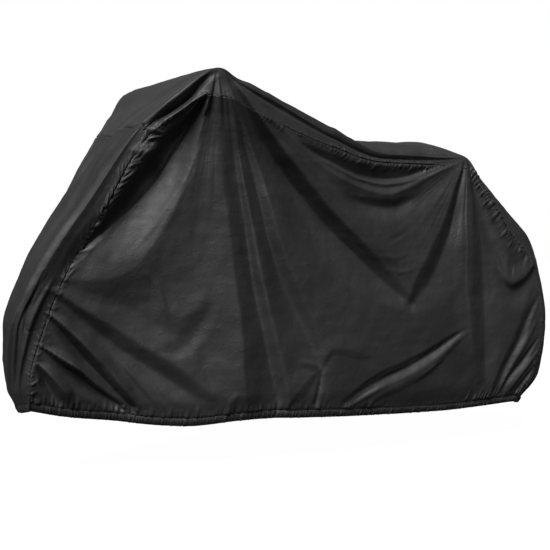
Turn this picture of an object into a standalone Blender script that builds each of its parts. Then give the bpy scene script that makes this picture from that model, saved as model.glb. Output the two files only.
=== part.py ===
"""Fitted nylon cover for a bicycle, as it hangs over the machine that it hides.

Two side panels meet a narrow strip that runs round the front wheel, over the handlebar and the
saddle and down behind the rear wheel. A cross seam splits the strip into a front panel and a top
panel. Each panel is a thin closed sheet with its main folds, and stops just short of its seams.
"""

from collections import namedtuple

import bpy
import numpy as np

# Metres. x runs from the front wheel to the rear one and is 0 midway between the axles, y runs
# from the left side of the bicycle to the right, and z is the height above the ground.
SHEET = 0.0012
SEAM_TRIM = 0.00085  # how far each panel stops short of its stitch line
HANG_POINT = (-0.416, 0.0, 1.170)  # under the top panel, at the middle of the handlebar
BELLY = 0.012  # how far the side panels swell over the drawn-in hem
HEM_BAND = 0.025  # height of the elastic hem
HEM_DRAW = 0.006  # how far the elastic draws the hem in

COLUMNS = 52  # grid lines of a side panel from front to rear
ROWS = 33  # grid lines of a side panel from hem to seam
FAN = 0.6  # how much closer the grid lines lie at the handlebar and the saddle, where folds meet
FINEST = 0.042  # a narrower fold is widened to this and lowered, as the grid can't hold it
LEFT, RIGHT = -1, 1

# Cross-sections of the strip from the front hem to the rear hem, each with five points across.
STATIONS = [
    # name, left seam, left ridge, crown, right ridge, right seam
    ("front_hem", (-0.865, -0.175, 0.208), (-0.882, -0.135, 0.200), (-0.888, -0.088, 0.196),
     (-0.872, -0.040, 0.200), (-0.835, -0.010, 0.208)),
    ("wheel_low", (-0.866, -0.190, 0.280), (-0.905, -0.150, 0.270), (-0.919, -0.092, 0.262),
     (-0.895, -0.030, 0.270), (-0.840, 0.005, 0.280)),
    ("wheel_nose", (-0.826, -0.195, 0.440), (-0.895, -0.192, 0.438), (-0.934, -0.095, 0.436),
     (-0.895, -0.020, 0.438), (-0.806, 0.020, 0.440)),
    ("wheel_shoulder", (-0.768, -0.205, 0.585), (-0.824, -0.217, 0.612), (-0.878, -0.070, 0.606),
     (-0.843, 0.005, 0.605), (-0.750, 0.050, 0.585)),
    ("front_mid", (-0.653, -0.220, 0.784), (-0.691, -0.225, 0.813), (-0.745, 0.000, 0.814),
     (-0.730, 0.100, 0.822), (-0.640, 0.130, 0.784)),
    ("cross_seam", (-0.530, -0.235, 0.990), (-0.546, -0.228, 1.022), (-0.598, 0.060, 1.022),
     (-0.610, 0.205, 1.024), (-0.520, 0.245, 0.985)),
    ("bar_front", (-0.425, -0.262, 1.066), (-0.446, -0.250, 1.103), (-0.505, 0.020, 1.116),
     (-0.553, 0.254, 1.105), (-0.490, 0.290, 1.060)),
    ("bar_top", (-0.360, -0.284, 1.107), (-0.336, -0.283, 1.187), (-0.416, 0.000, 1.192),
     (-0.502, 0.281, 1.180), (-0.470, 0.302, 1.107)),
    ("bar_rear", (-0.290, -0.283, 1.099), (-0.272, -0.272, 1.156), (-0.300, 0.000, 1.164),
     (-0.360, 0.270, 1.150), (-0.350, 0.296, 1.088)),
    ("behind_bar", (-0.199, -0.268, 1.058), (-0.180, -0.256, 1.120), (-0.190, 0.000, 1.120),
     (-0.215, 0.256, 1.108), (-0.220, 0.276, 1.046)),
    ("mid", (0.041, -0.220, 0.975), (0.052, -0.203, 1.018), (0.050, 0.000, 1.032),
     (0.050, 0.200, 1.008), (0.041, 0.222, 0.965)),
    ("saddle_nose", (0.242, -0.170, 0.935), (0.260, -0.155, 0.962), (0.270, 0.000, 1.020),
     (0.260, 0.150, 0.975), (0.242, 0.172, 0.930)),
    ("saddle_top", (0.440, -0.135, 0.935), (0.440, -0.125, 0.962), (0.430, 0.000, 1.024),
     (0.440, 0.120, 0.985), (0.440, 0.140, 0.930)),
    ("saddle_rear", (0.578, -0.116, 0.922), (0.562, -0.106, 0.968), (0.545, 0.000, 0.994),
     (0.558, 0.100, 0.968), (0.578, 0.120, 0.920)),
    ("saddle_back", (0.634, -0.116, 0.850), (0.624, -0.098, 0.900), (0.622, 0.000, 0.906),
     (0.620, 0.096, 0.900), (0.634, 0.120, 0.850)),
    ("rear_slope", (0.715, -0.112, 0.730), (0.760, -0.074, 0.776), (0.770, 0.000, 0.780),
     (0.758, 0.076, 0.776), (0.715, 0.116, 0.728)),
    ("rear_kink", (0.780, -0.107, 0.662), (0.843, -0.060, 0.688), (0.852, 0.000, 0.690),
     (0.843, 0.060, 0.688), (0.780, 0.110, 0.660)),
    ("rear_shoulder", (0.841, -0.098, 0.600), (0.876, -0.055, 0.612), (0.885, 0.000, 0.616),
     (0.876, 0.055, 0.612), (0.841, 0.100, 0.600)),
    ("rear_nose", (0.884, -0.088, 0.400), (0.916, -0.050, 0.400), (0.928, 0.000, 0.400),
     (0.916, 0.050, 0.400), (0.884, 0.088, 0.400)),
    ("rear_low", (0.846, -0.078, 0.225), (0.890, -0.045, 0.222), (0.903, 0.000, 0.220),
     (0.890, 0.045, 0.222), (0.846, 0.078, 0.225)),
    ("rear_hem", (0.777, -0.068, 0.128), (0.806, -0.038, 0.122), (0.815, 0.000, 0.119),
     (0.806, 0.038, 0.122), (0.777, 0.068, 0.128)),
]
RIDGE = 0.2  # the ridges lie this share of the way in from each seam
ACROSS = (0.0, RIDGE, 0.5, 1 - RIDGE, 1.0)  # where the five points of a station lie
STRIP_LINES = (0.0, 0.1, RIDGE, 0.4, 0.6, 1 - RIDGE, 0.9, 1.0)
CROSS_SEAM = "cross_seam"
FRONT_CORNER = "bar_top"
REAR_CORNER = "saddle_rear"

HEM = [
    # x, left y, left z, right x, right y, right z
    (-0.865, -0.175, 0.208, -0.835, -0.010, 0.208),
    (-0.760, -0.158, 0.182, -0.740, 0.035, 0.188),
    (-0.633, -0.142, 0.162, -0.620, 0.075, 0.168),
    (-0.474, -0.165, 0.140, -0.474, 0.120, 0.150),
    (-0.400, -0.180, 0.136, -0.400, 0.140, 0.138),
    (-0.221, -0.200, 0.149, -0.221, 0.170, 0.140),
    (-0.027, -0.200, 0.143, -0.027, 0.185, 0.148),
    (0.227, -0.160, 0.130, 0.227, 0.150, 0.132),
    (0.512, -0.105, 0.120, 0.512, 0.105, 0.122),
    (0.777, -0.068, 0.128, 0.777, 0.068, 0.128),
]

# A fold follows its path. Its widths to the path's left and right and its height outwards are each
# given at even steps along the path, and crisp runs from 0 for a soft fold to 1 for a crease.
Fold = namedtuple("Fold", "name path left right height crisp")

LEFT_FOLDS = [
    Fold("seam_valley", ((-0.380, 1.090), (-0.436, 0.965), (-0.510, 0.862), (-0.600, 0.772),
         (-0.720, 0.665)),
         (0.012, 0.060, 0.090, 0.110, 0.050), (0.020, 0.090, 0.110, 0.080, 0.030),
         (-0.016, -0.046, -0.058, -0.044, -0.004), 0.5),
    Fold("flap_crest", ((-0.372, 1.093), (-0.396, 0.893), (-0.476, 0.755), (-0.560, 0.620),
         (-0.686, 0.577), (-0.762, 0.586)),
         (0.012, 0.090, 0.120, 0.100, 0.040), (0.010, 0.040, 0.090, 0.100, 0.040),
         (0.002, 0.014, 0.024, 0.024, 0.002), 0.6),
    Fold("first_pleat", ((-0.334, 1.170), (-0.316, 0.958), (-0.300, 0.739), (-0.262, 0.450),
         (-0.239, 0.160)),
         (0.006, 0.050, 0.060, 0.090, 0.100), (0.006, 0.070, 0.120, 0.110, 0.080),
         (0.001, 0.014, 0.018, 0.020, 0.012), 0.5),
    Fold("first_valley", ((-0.310, 1.110), (-0.262, 0.870), (-0.222, 0.620), (-0.177, 0.403),
         (-0.131, 0.160)),
         (0.004, 0.020, 0.028, 0.034, 0.036), (0.006, 0.056, 0.066, 0.096, 0.100),
         (-0.001, -0.009, -0.010, -0.011, -0.008), 0.5),
    Fold("second_pleat", ((-0.330, 1.170), (-0.268, 0.959), (-0.222, 0.739), (-0.160, 0.440),
         (-0.098, 0.180)),
         (0.006, 0.038, 0.054, 0.095, 0.110), (0.004, 0.016, 0.024, 0.032, 0.030),
         (0.001, 0.013, 0.016, 0.014, 0.004), 0.6),
    Fold("second_valley", ((-0.300, 1.110), (-0.241, 0.959), (-0.173, 0.722), (-0.104, 0.537),
         (0.000, 0.300)),
         (0.004, 0.022, 0.034, 0.040, 0.030), (0.006, 0.038, 0.060, 0.090, 0.100),
         (0.0, -0.010, -0.012, -0.011, -0.002), 0.5),
    Fold("third_pleat", ((-0.322, 1.170), (-0.220, 0.960), (-0.140, 0.706), (-0.072, 0.536),
         (0.024, 0.320)),
         (0.004, 0.080, 0.110, 0.110, 0.060), (0.004, 0.022, 0.032, 0.034, 0.020),
         (0.001, 0.010, 0.012, 0.010, 0.001), 0.5),
    Fold("long_valley", ((-0.300, 1.150), (-0.196, 1.000), (-0.070, 0.851), (0.078, 0.696),
         (0.219, 0.572), (0.326, 0.484)),
         (0.006, 0.034, 0.042, 0.042, 0.034, 0.020), (0.006, 0.070, 0.100, 0.100, 0.070, 0.030),
         (-0.003, -0.028, -0.034, -0.030, -0.022, -0.006), 0.6),
    Fold("long_rim", ((-0.300, 1.160), (-0.165, 1.010), (0.004, 0.843), (0.210, 0.664),
         (0.340, 0.495)),
         (0.006, 0.050, 0.070, 0.050, 0.020), (0.006, 0.030, 0.040, 0.034, 0.020),
         (0.0, 0.010, 0.012, 0.007, 0.001), 0.5),
    Fold("swag_valley", ((-0.085, 0.990), (0.036, 0.940), (0.148, 0.902), (0.250, 0.884),
         (0.400, 0.910), (0.556, 0.955)),
         (0.010, 0.026, 0.036, 0.036, 0.024, 0.006), (0.008, 0.024, 0.032, 0.032, 0.022, 0.006),
         (0.0, -0.014, -0.020, -0.018, -0.012, -0.001), 0.4),
    Fold("swag_ridge", ((-0.050, 0.955), (0.097, 0.871), (0.247, 0.834), (0.394, 0.890),
         (0.558, 0.955)),
         (0.010, 0.026, 0.034, 0.024, 0.006), (0.016, 0.056, 0.062, 0.036, 0.006),
         (0.0, 0.009, 0.010, 0.007, 0.001), 0.5),
    Fold("saddle_ridge", ((0.562, 0.960), (0.498, 0.850), (0.451, 0.739), (0.402, 0.658),
         (0.318, 0.494)),
         (0.004, 0.034, 0.044, 0.050, 0.020), (0.004, 0.060, 0.070, 0.060, 0.020),
         (0.001, 0.010, 0.011, 0.011, 0.003), 0.5),
    Fold("saddle_valley", ((0.563, 0.960), (0.532, 0.852), (0.500, 0.740), (0.460, 0.657),
         (0.340, 0.480)),
         (0.004, 0.030, 0.050, 0.080, 0.030), (0.004, 0.034, 0.044, 0.050, 0.020),
         (0.0, -0.008, -0.009, -0.009, -0.002), 0.5),
    Fold("saddle_pleat", ((0.567, 0.960), (0.576, 0.850), (0.577, 0.620), (0.566, 0.370)),
         (0.004, 0.030, 0.046, 0.040), (0.004, 0.016, 0.022, 0.016),
         (0.001, 0.011, 0.012, 0.003), 0.6),
    Fold("pleat_valley", ((0.570, 0.960), (0.606, 0.780), (0.621, 0.553), (0.636, 0.285),
         (0.633, 0.160)),
         (0.004, 0.030, 0.040, 0.036, 0.030), (0.004, 0.030, 0.046, 0.050, 0.040),
         (0.0, -0.008, -0.009, -0.008, -0.004), 0.5),
    Fold("rear_bag", ((0.696, 0.610), (0.713, 0.543), (0.754, 0.527), (0.801, 0.542),
         (0.846, 0.588)),
         (0.012, 0.030, 0.044, 0.036, 0.012), (0.008, 0.016, 0.020, 0.018, 0.010),
         (0.002, 0.012, 0.014, 0.011, 0.001), 0.4),
    Fold("low_valley", ((0.540, 0.395), (0.440, 0.322), (0.336, 0.286), (0.199, 0.238),
         (0.072, 0.175)),
         (0.014, 0.032, 0.034, 0.030, 0.020), (0.014, 0.036, 0.044, 0.036, 0.016),
         (-0.006, -0.018, -0.018, -0.012, -0.002), 0.5),
    Fold("low_flap", ((0.555, 0.380), (0.494, 0.332), (0.410, 0.275), (0.329, 0.230),
         (0.179, 0.172)),
         (0.012, 0.050, 0.070, 0.060, 0.030), (0.010, 0.028, 0.034, 0.030, 0.020),
         (0.004, 0.012, 0.013, 0.012, 0.005), 0.5),
    Fold("rear_low_pleat", ((0.840, 0.540), (0.744, 0.358), (0.655, 0.160)),
         (0.008, 0.026, 0.026), (0.016, 0.050, 0.040), (0.0, 0.009, 0.006), 0.5),
    Fold("rear_low_valley", ((0.860, 0.480), (0.778, 0.339), (0.722, 0.238), (0.684, 0.140)),
         (0.008, 0.020, 0.022, 0.018), (0.008, 0.028, 0.028, 0.026),
         (-0.001, -0.009, -0.010, -0.006), 0.4),
    Fold("wheel_fold", ((-0.820, 0.546), (-0.704, 0.476), (-0.575, 0.405), (-0.486, 0.357),
         (-0.382, 0.290)),
         (0.012, 0.050, 0.070, 0.060, 0.024), (0.010, 0.034, 0.044, 0.050, 0.024),
         (0.002, 0.022, 0.022, 0.018, 0.003), 0.5),
    Fold("wheel_valley", ((-0.805, 0.526), (-0.688, 0.437), (-0.578, 0.353), (-0.442, 0.260),
         (-0.360, 0.195)),
         (0.010, 0.036, 0.044, 0.050, 0.030), (0.010, 0.050, 0.050, 0.044, 0.026),
         (0.0, -0.011, -0.011, -0.008, -0.001), 0.4),
    Fold("wheel_fold_2", ((-0.824, 0.500), (-0.734, 0.405), (-0.670, 0.331), (-0.600, 0.236),
         (-0.550, 0.150)),
         (0.010, 0.050, 0.056, 0.050, 0.036), (0.008, 0.028, 0.034, 0.036, 0.030),
         (0.003, 0.022, 0.024, 0.022, 0.010), 0.6),
    Fold("wheel_valley_2", ((-0.826, 0.490), (-0.764, 0.387), (-0.706, 0.308), (-0.645, 0.228),
         (-0.600, 0.150)),
         (0.008, 0.028, 0.034, 0.036, 0.030), (0.008, 0.024, 0.026, 0.024, 0.016),
         (-0.002, -0.014, -0.014, -0.012, -0.006), 0.5),
    Fold("wheel_fold_3", ((-0.845, 0.398), (-0.767, 0.360), (-0.701, 0.307), (-0.645, 0.256),
         (-0.600, 0.180)),
         (0.008, 0.024, 0.024, 0.022, 0.014), (0.008, 0.022, 0.024, 0.022, 0.016),
         (0.002, 0.018, 0.018, 0.014, 0.006), 0.6),
    Fold("wheel_valley_3", ((-0.848, 0.388), (-0.784, 0.333), (-0.728, 0.283), (-0.676, 0.233),
         (-0.630, 0.175)),
         (0.008, 0.022, 0.024, 0.022, 0.016), (0.008, 0.036, 0.036, 0.028, 0.016),
         (-0.001, -0.014, -0.014, -0.011, -0.005), 0.5),
]

RIGHT_FOLDS = [
    Fold("bar_flap", ((-0.440, 1.140), (-0.450, 0.930), (-0.520, 0.740), (-0.690, 0.600)),
         (0.010, 0.080, 0.120, 0.060), (0.010, 0.030, 0.040, 0.030),
         (0.002, 0.026, 0.030, 0.0), 0.3),
    Fold("bar_pleat", ((-0.430, 1.140), (-0.360, 0.860), (-0.310, 0.520), (-0.280, 0.150)),
         (0.006, 0.040, 0.060, 0.060), (0.006, 0.045, 0.060, 0.060),
         (0.002, 0.018, 0.020, 0.012), 0.2),
    Fold("bar_valley", ((-0.400, 1.120), (-0.180, 0.900), (0.020, 0.700), (0.240, 0.520)),
         (0.006, 0.050, 0.070, 0.050), (0.006, 0.040, 0.050, 0.040),
         (-0.002, -0.024, -0.026, 0.0), 0.2),
    Fold("swag", ((-0.150, 1.000), (0.060, 0.890), (0.240, 0.850), (0.420, 0.885), (0.560, 0.950)),
         (0.012, 0.030, 0.036, 0.024, 0.006), (0.016, 0.040, 0.050, 0.040, 0.008),
         (0.0, 0.014, 0.020, 0.012, 0.002), 0.3),
    Fold("saddle_fold", ((0.562, 0.950), (0.480, 0.760), (0.430, 0.560), (0.400, 0.400)),
         (0.006, 0.030, 0.044, 0.040), (0.006, 0.036, 0.050, 0.040),
         (0.002, 0.018, 0.020, 0.0), 0.3),
    Fold("saddle_valley", ((0.572, 0.950), (0.610, 0.700), (0.640, 0.440), (0.640, 0.150)),
         (0.006, 0.034, 0.044, 0.040), (0.006, 0.034, 0.044, 0.040),
         (-0.002, -0.018, -0.020, -0.008), 0.2),
    Fold("wheel_fold", ((-0.780, 0.540), (-0.620, 0.450), (-0.460, 0.310), (-0.370, 0.150)),
         (0.010, 0.045, 0.060, 0.050), (0.010, 0.036, 0.050, 0.050),
         (0.0, 0.018, 0.020, 0.010), 0.3),
    Fold("wheel_valley", ((-0.800, 0.400), (-0.700, 0.310), (-0.620, 0.180)),
         (0.010, 0.030, 0.034), (0.010, 0.030, 0.034), (0.0, -0.018, -0.012), 0.3),
    Fold("rear_fold", ((0.860, 0.480), (0.760, 0.340), (0.690, 0.150)),
         (0.010, 0.034, 0.040), (0.010, 0.034, 0.040), (0.0, 0.016, 0.010), 0.2),
]

# Folds of the strip itself, pushed out along its surface. Their paths are given by station and by
# share of the way across from the left seam, and their widths and heights in metres.
STRIP_FOLDS = [
    Fold("left_front_ridge", (("wheel_nose", 0.22), ("wheel_shoulder", 0.21), ("front_mid", 0.20),
         ("cross_seam", 0.20)),
         (0.030, 0.040, 0.040, 0.020), (0.030, 0.040, 0.040, 0.020),
         (0.0, 0.012, 0.014, 0.004), 0.6),
    Fold("bar_hollow", (("cross_seam", 0.08), ("bar_front", 0.10), ("bar_top", 0.12)),
         (0.020, 0.040, 0.020), (0.020, 0.040, 0.020), (-0.004, -0.020, 0.0), 0.2),
    Fold("bar_ridge", (("cross_seam", 0.21), ("bar_front", 0.21), ("bar_top", 0.20)),
         (0.020, 0.030, 0.020), (0.030, 0.040, 0.020), (0.004, 0.012, 0.0), 0.6),
    Fold("front_crease", (("wheel_shoulder", 0.45), ("front_mid", 0.50), ("cross_seam", 0.62),
         ("bar_top", 0.75)),
         (0.030, 0.040, 0.040, 0.030), (0.030, 0.040, 0.040, 0.030),
         (0.0, 0.010, 0.012, 0.0), 0.4),
    Fold("wheel_crease", (("front_hem", 0.36), ("wheel_nose", 0.32), ("wheel_shoulder", 0.28)),
         (0.020, 0.026, 0.020), (0.020, 0.026, 0.020), (0.004, -0.010, 0.0), 0.3),
    Fold("top_sag", (("bar_rear", 0.50), ("mid", 0.46), ("saddle_nose", 0.50)),
         (0.060, 0.090, 0.060), (0.060, 0.090, 0.060), (0.0, -0.022, 0.0), 0.0),
    Fold("saddle_line", (("behind_bar", 0.24), ("mid", 0.22), ("saddle_nose", 0.17),
         ("saddle_rear", 0.18)),
         (0.020, 0.026, 0.026, 0.020), (0.020, 0.030, 0.030, 0.020),
         (0.0, 0.008, 0.010, 0.0), 0.5),
]
STRIP_WIDTH = 0.40  # a usual width of the strip, which turns shares of the way across into metres

# Colours as linear values, roughness, and how metallic each is.
FABRIC = ((0.018, 0.018, 0.020), 0.48, 0.0)
FRONT_FABRIC = ((0.022, 0.022, 0.025), 0.46, 0.0)


def curve_through(steps, points, at):
    """Smooth curve through points at the given steps, without overshoot, read at the values at."""
    steps = np.asarray(steps, float)
    points = np.asarray(points, float)
    spans = np.diff(steps).reshape(-1, *[1] * (points.ndim - 1))
    rise = np.diff(points, axis=0) / spans
    slope = np.zeros_like(points)
    slope[0], slope[-1] = rise[0], rise[-1]
    before, after = rise[:-1], rise[1:]
    same_way = before * after > 0
    mean = 2 * before * after / np.where(same_way, before + after, 1)
    slope[1:-1] = np.where(same_way, mean, 0)
    at = np.clip(np.asarray(at, float), steps[0], steps[-1])
    index = np.clip(np.searchsorted(steps, at, side="right") - 1, 0, len(steps) - 2)
    span = spans[index]
    share = (at - steps[index]).reshape(-1, *[1] * (points.ndim - 1)) / span
    return (
        (2 * share**3 - 3 * share**2 + 1) * points[index]
        + (share**3 - 2 * share**2 + share) * span * slope[index]
        + (3 * share**2 - 2 * share**3) * points[index + 1]
        + (share**3 - share**2) * span * slope[index + 1]
    )


def lengths_along(points):
    """Distance from the first point to each point of a line."""
    return np.concatenate([[0], np.cumsum(np.linalg.norm(np.diff(points, axis=0), axis=1))])


NETWORK = np.array([station[1:] for station in STATIONS])
STATION_AT = lengths_along(NETWORK[:, 2]) / lengths_along(NETWORK[:, 2])[-1]


def station(name):
    """Place of a named station along the strip, from 0 at the front hem to 1 at the rear hem."""
    return STATION_AT[[row[0] for row in STATIONS].index(name)]


def strip_points(along, across):
    """Points of the unfolded strip, as an array of across by along by xyz."""
    lines = curve_through(STATION_AT, NETWORK, along)
    return curve_through(ACROSS, lines.transpose(1, 0, 2), across)


def seam_points(along, side):
    return strip_points(along, [0.0 if side == LEFT else 1.0])[0]


def hem_points(share, side):
    table = np.array(HEM)
    line = table[:, :3] if side == LEFT else table[:, 3:]
    return curve_through(lengths_along(line) / lengths_along(line)[-1], line, share)


def stretch(start, end, count, fan):
    """Places along the strip between two stations, closer to its ends where fan is over 0."""
    places = np.linspace(start, end, 400)
    reached = lengths_along(seam_points(places, LEFT)) / lengths_along(seam_points(places, LEFT))[-1]
    shares = np.linspace(0, 1, count)
    shares -= fan * np.sin(2 * np.pi * shares) / (2 * np.pi)
    return np.interp(shares, reached, places)


def seam_stretches():
    """Places along the strip of the three stretches of seam round a side panel."""
    front, rear = station(FRONT_CORNER), station(REAR_CORNER)
    return (
        stretch(0.0, front, ROWS, 0),
        stretch(front, rear, COLUMNS, FAN),
        stretch(rear, 1.0, ROWS, 0),
    )


def side_base(side):
    """Unfolded side panel, blended between its seams and its hem, as rows by columns by xyz."""
    up_front, over_top, down_rear = (seam_points(s, side) for s in seam_stretches())
    up_rear = down_rear[::-1]
    across = np.linspace(0, 1, COLUMNS)[None, :, None]
    up = np.linspace(0, 1, ROWS)[:, None, None]
    hem = hem_points(across[0, :, 0], side)
    corners = (
        (1 - across) * (1 - up) * hem[0]
        + across * (1 - up) * hem[-1]
        + (1 - across) * up * over_top[0]
        + across * up * over_top[-1]
    )
    between_ends = (1 - across) * up_front[:, None] + across * up_rear[:, None]
    between_edges = (1 - up) * hem[None] + up * over_top[None]
    base = between_ends + between_edges - corners
    base[..., 1] += side * BELLY * (4 * across * (1 - across) * np.sin(np.pi * up) ** 0.5)[..., 0]
    above_hem = base[..., 2] - base[:1, :, 2]
    base[..., 1] -= side * HEM_DRAW * np.clip(1 - above_hem / HEM_BAND, 0, 1)
    return base


def fold_heights(x, z, folds):
    """Summed heights of the folds at points with the given x and z."""
    spots = np.stack([x.ravel(), z.ravel()], axis=1)
    total = np.zeros(len(spots))
    for fold in folds:
        path = np.array(fold.path)
        steps = lengths_along(path) / lengths_along(path)[-1]
        shares = np.linspace(0, 1, 60)
        line = curve_through(steps, path, shares)
        heading = np.gradient(line, axis=0)
        heading /= np.linalg.norm(heading, axis=1)[:, None]
        apart = spots[:, None] - line[None]
        nearest = np.argmin((apart**2).sum(axis=2), axis=1)
        offset, ahead = apart[np.arange(len(spots)), nearest], heading[nearest]
        to_left = ahead[:, 0] * offset[:, 1] - ahead[:, 1] * offset[:, 0]
        onward = (ahead * offset).sum(axis=1)
        share = shares[nearest] + onward / lengths_along(line)[-1]
        beyond = np.where((share < 0) | (share > 1), onward, 0)
        distance = np.hypot(to_left, beyond)
        width_left, width_right, height = (
            curve_through(np.linspace(0, 1, len(values)), values, share)
            for values in (fold.left, fold.right, fold.height)
        )
        width = np.where(to_left > 0, width_left, width_right)
        height = height * np.clip((width_left + width_right) / (2 * FINEST), 0, 1)
        away = np.clip(distance / np.maximum(width, FINEST), 0, 1)
        soft = (1 - away**2) ** 2
        creased = (1 - away) ** 1.4
        total += height * ((1 - fold.crisp) * soft + fold.crisp * creased)
    return total.reshape(x.shape)


def outward_normals(points):
    """Unit normals of a grid of points across by along, facing away from the bicycle."""
    normals = np.cross(np.gradient(points, axis=1), np.gradient(points, axis=0))
    return normals / np.linalg.norm(normals, axis=-1, keepdims=True)


def side_panel(side, folds):
    """Side panel with its folds pushed out along y."""
    points = side_base(side)
    points[..., 1] += side * fold_heights(points[..., 0], points[..., 2], folds)
    return trimmed(points, first_row=False)


def strip_panel(start, end):
    """Strip between two stations. The folds of each side run on over the seam, up to the ridge."""
    every = np.unique(np.concatenate([*seam_stretches(), [station(CROSS_SEAM)]]))
    along = every[(every >= station(start)) & (every <= station(end))]
    points = strip_points(along, STRIP_LINES)
    across = np.array(STRIP_LINES)[:, None]
    length = lengths_along(NETWORK[:, 2])[-1]
    folds = [
        fold._replace(path=[(station(at) * length, share * STRIP_WIDTH) for at, share in fold.path])
        for fold in STRIP_FOLDS
    ]
    heights = fold_heights(*np.meshgrid(along * length, across * STRIP_WIDTH), folds)
    heights *= np.clip(across * (1 - across) / 0.05, 0, 1)
    points += heights[..., None] * outward_normals(points)
    for side, folds, inward in ((LEFT, LEFT_FOLDS, across), (RIGHT, RIGHT_FOLDS, 1 - across)):
        fade = np.clip(1 - inward / RIDGE, 0, 1)
        points[..., 1] += side * fade * fold_heights(points[..., 0], points[..., 2], folds)
    return trimmed(
        points,
        first_column=start == CROSS_SEAM,
        last_column=end == CROSS_SEAM,
    )


def trimmed(points, first_row=True, last_row=True, first_column=True, last_column=True):
    """Draws the chosen edges of a grid of points in from the stitch lines."""
    edges = (
        (first_row, points[0], points[1]),
        (last_row, points[-1], points[-2]),
        (first_column, points[:, 0], points[:, 1]),
        (last_column, points[:, -1], points[:, -2]),
    )
    for wanted, edge, inner in edges:
        if wanted:
            way = inner - edge
            edge += SEAM_TRIM * way / np.linalg.norm(way, axis=-1, keepdims=True)
    return points


def fabric(name, look):
    colour, roughness, metallic = look
    material = bpy.data.materials.new(name)
    material.use_nodes = True
    shader = material.node_tree.nodes["Principled BSDF"]
    shader.inputs["Base Color"].default_value = (*colour, 1)
    shader.inputs["Roughness"].default_value = roughness
    shader.inputs["Metallic"].default_value = metallic
    material.diffuse_color = (*colour, 1)
    return material


def add_sheet(name, points, outward, look, frame, collection):
    """Closed sheet through a grid of points, with its faces turned the way outward points."""
    rows, columns = points.shape[:2]
    bpy.ops.mesh.primitive_grid_add(x_subdivisions=columns - 1, y_subdivisions=rows - 1, size=2)
    sheet = bpy.context.object
    sheet.name = sheet.data.name = name
    flat = np.empty(rows * columns * 3)
    sheet.data.vertices.foreach_get("co", flat)
    flat = flat.reshape(-1, 3)
    column = np.rint((flat[:, 0] + 1) / 2 * (columns - 1)).astype(int)
    row = np.rint((flat[:, 1] + 1) / 2 * (rows - 1)).astype(int)
    sheet.data.vertices.foreach_set("co", points[row, column].ravel())
    sheet.data.update()
    middle = sheet.data.polygons[len(sheet.data.polygons) // 2]
    if np.dot(middle.normal, outward) < 0:
        sheet.data.flip_normals()
    thick = sheet.modifiers.new("thickness", "SOLIDIFY")
    thick.thickness = SHEET
    thick.offset = 0
    sheet.data.materials.append(fabric(name + "_fabric", look))
    for other in list(sheet.users_collection):
        other.objects.unlink(sheet)
    collection.objects.link(sheet)
    sheet.parent = frame
    return sheet


def main():
    for old in list(bpy.data.objects):
        bpy.data.objects.remove(old)
    cover = bpy.data.collections.new("bicycle_cover")
    bpy.context.scene.collection.children.link(cover)
    frame = bpy.data.objects.new("cover_frame", None)
    frame.location = [-value for value in HANG_POINT]
    cover.objects.link(frame)

    left, right = side_panel(LEFT, LEFT_FOLDS), side_panel(RIGHT, RIGHT_FOLDS)
    front, top = strip_panel("front_hem", CROSS_SEAM), strip_panel(CROSS_SEAM, "rear_hem")
    add_sheet("side_panel_left", left, (0, -1, 0), FABRIC, frame, cover)
    add_sheet("side_panel_right", right, (0, 1, 0), FABRIC, frame, cover)
    add_sheet("front_panel", front, (-1, 0, 0), FRONT_FABRIC, frame, cover)
    add_sheet("top_panel", top, (0, 0, 1), FABRIC, frame, cover)


main()
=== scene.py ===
"""Looks of the fitted bicycle cover: its draped nylon, ruffled seams and gathered hem."""

from collections import namedtuple
from math import pi, radians

import bpy
import numpy as np
from mathutils import Matrix, Vector, kdtree, noise

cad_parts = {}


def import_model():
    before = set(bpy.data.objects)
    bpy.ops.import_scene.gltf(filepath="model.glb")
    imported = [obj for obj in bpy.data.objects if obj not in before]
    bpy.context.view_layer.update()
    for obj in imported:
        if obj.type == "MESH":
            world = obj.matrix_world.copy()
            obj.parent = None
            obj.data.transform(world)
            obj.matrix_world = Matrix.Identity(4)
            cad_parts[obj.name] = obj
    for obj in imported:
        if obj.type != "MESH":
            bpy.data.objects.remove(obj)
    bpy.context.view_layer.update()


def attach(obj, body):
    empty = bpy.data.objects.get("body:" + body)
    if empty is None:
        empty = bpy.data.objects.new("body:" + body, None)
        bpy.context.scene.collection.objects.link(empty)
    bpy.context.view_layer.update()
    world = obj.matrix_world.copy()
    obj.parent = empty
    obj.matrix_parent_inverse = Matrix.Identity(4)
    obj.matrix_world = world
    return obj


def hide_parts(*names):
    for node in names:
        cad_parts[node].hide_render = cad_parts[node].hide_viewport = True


# The tables and sizes below are metres from the ground under the bicycle: x runs from the front
# wheel to the rear one and is 0 midway between the axles, y runs from the left side to the right,
# and z is the height. placed() moves them to the part's own frame, whose origin is HANG_POINT.
HANG_POINT = (-0.416, 0.0, 1.170)
BELLY = 0.012  # how far the side panels swell over the drawn-in hem
LEFT, RIGHT = -1, 1

HEM_BAND = 0.024  # height of the elastic hem
HEM_DRAW = 0.006  # how far the elastic draws the hem in
BAND_INSET = 0.0006  # how far the cloth is drawn in where its hem band covers it
SEAM_TUCK = 0.0018  # how far the stitches pull both panels in at a seam
SEAM_TUCK_REACH = 0.004  # how far from the seam that tuck fades out

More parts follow.
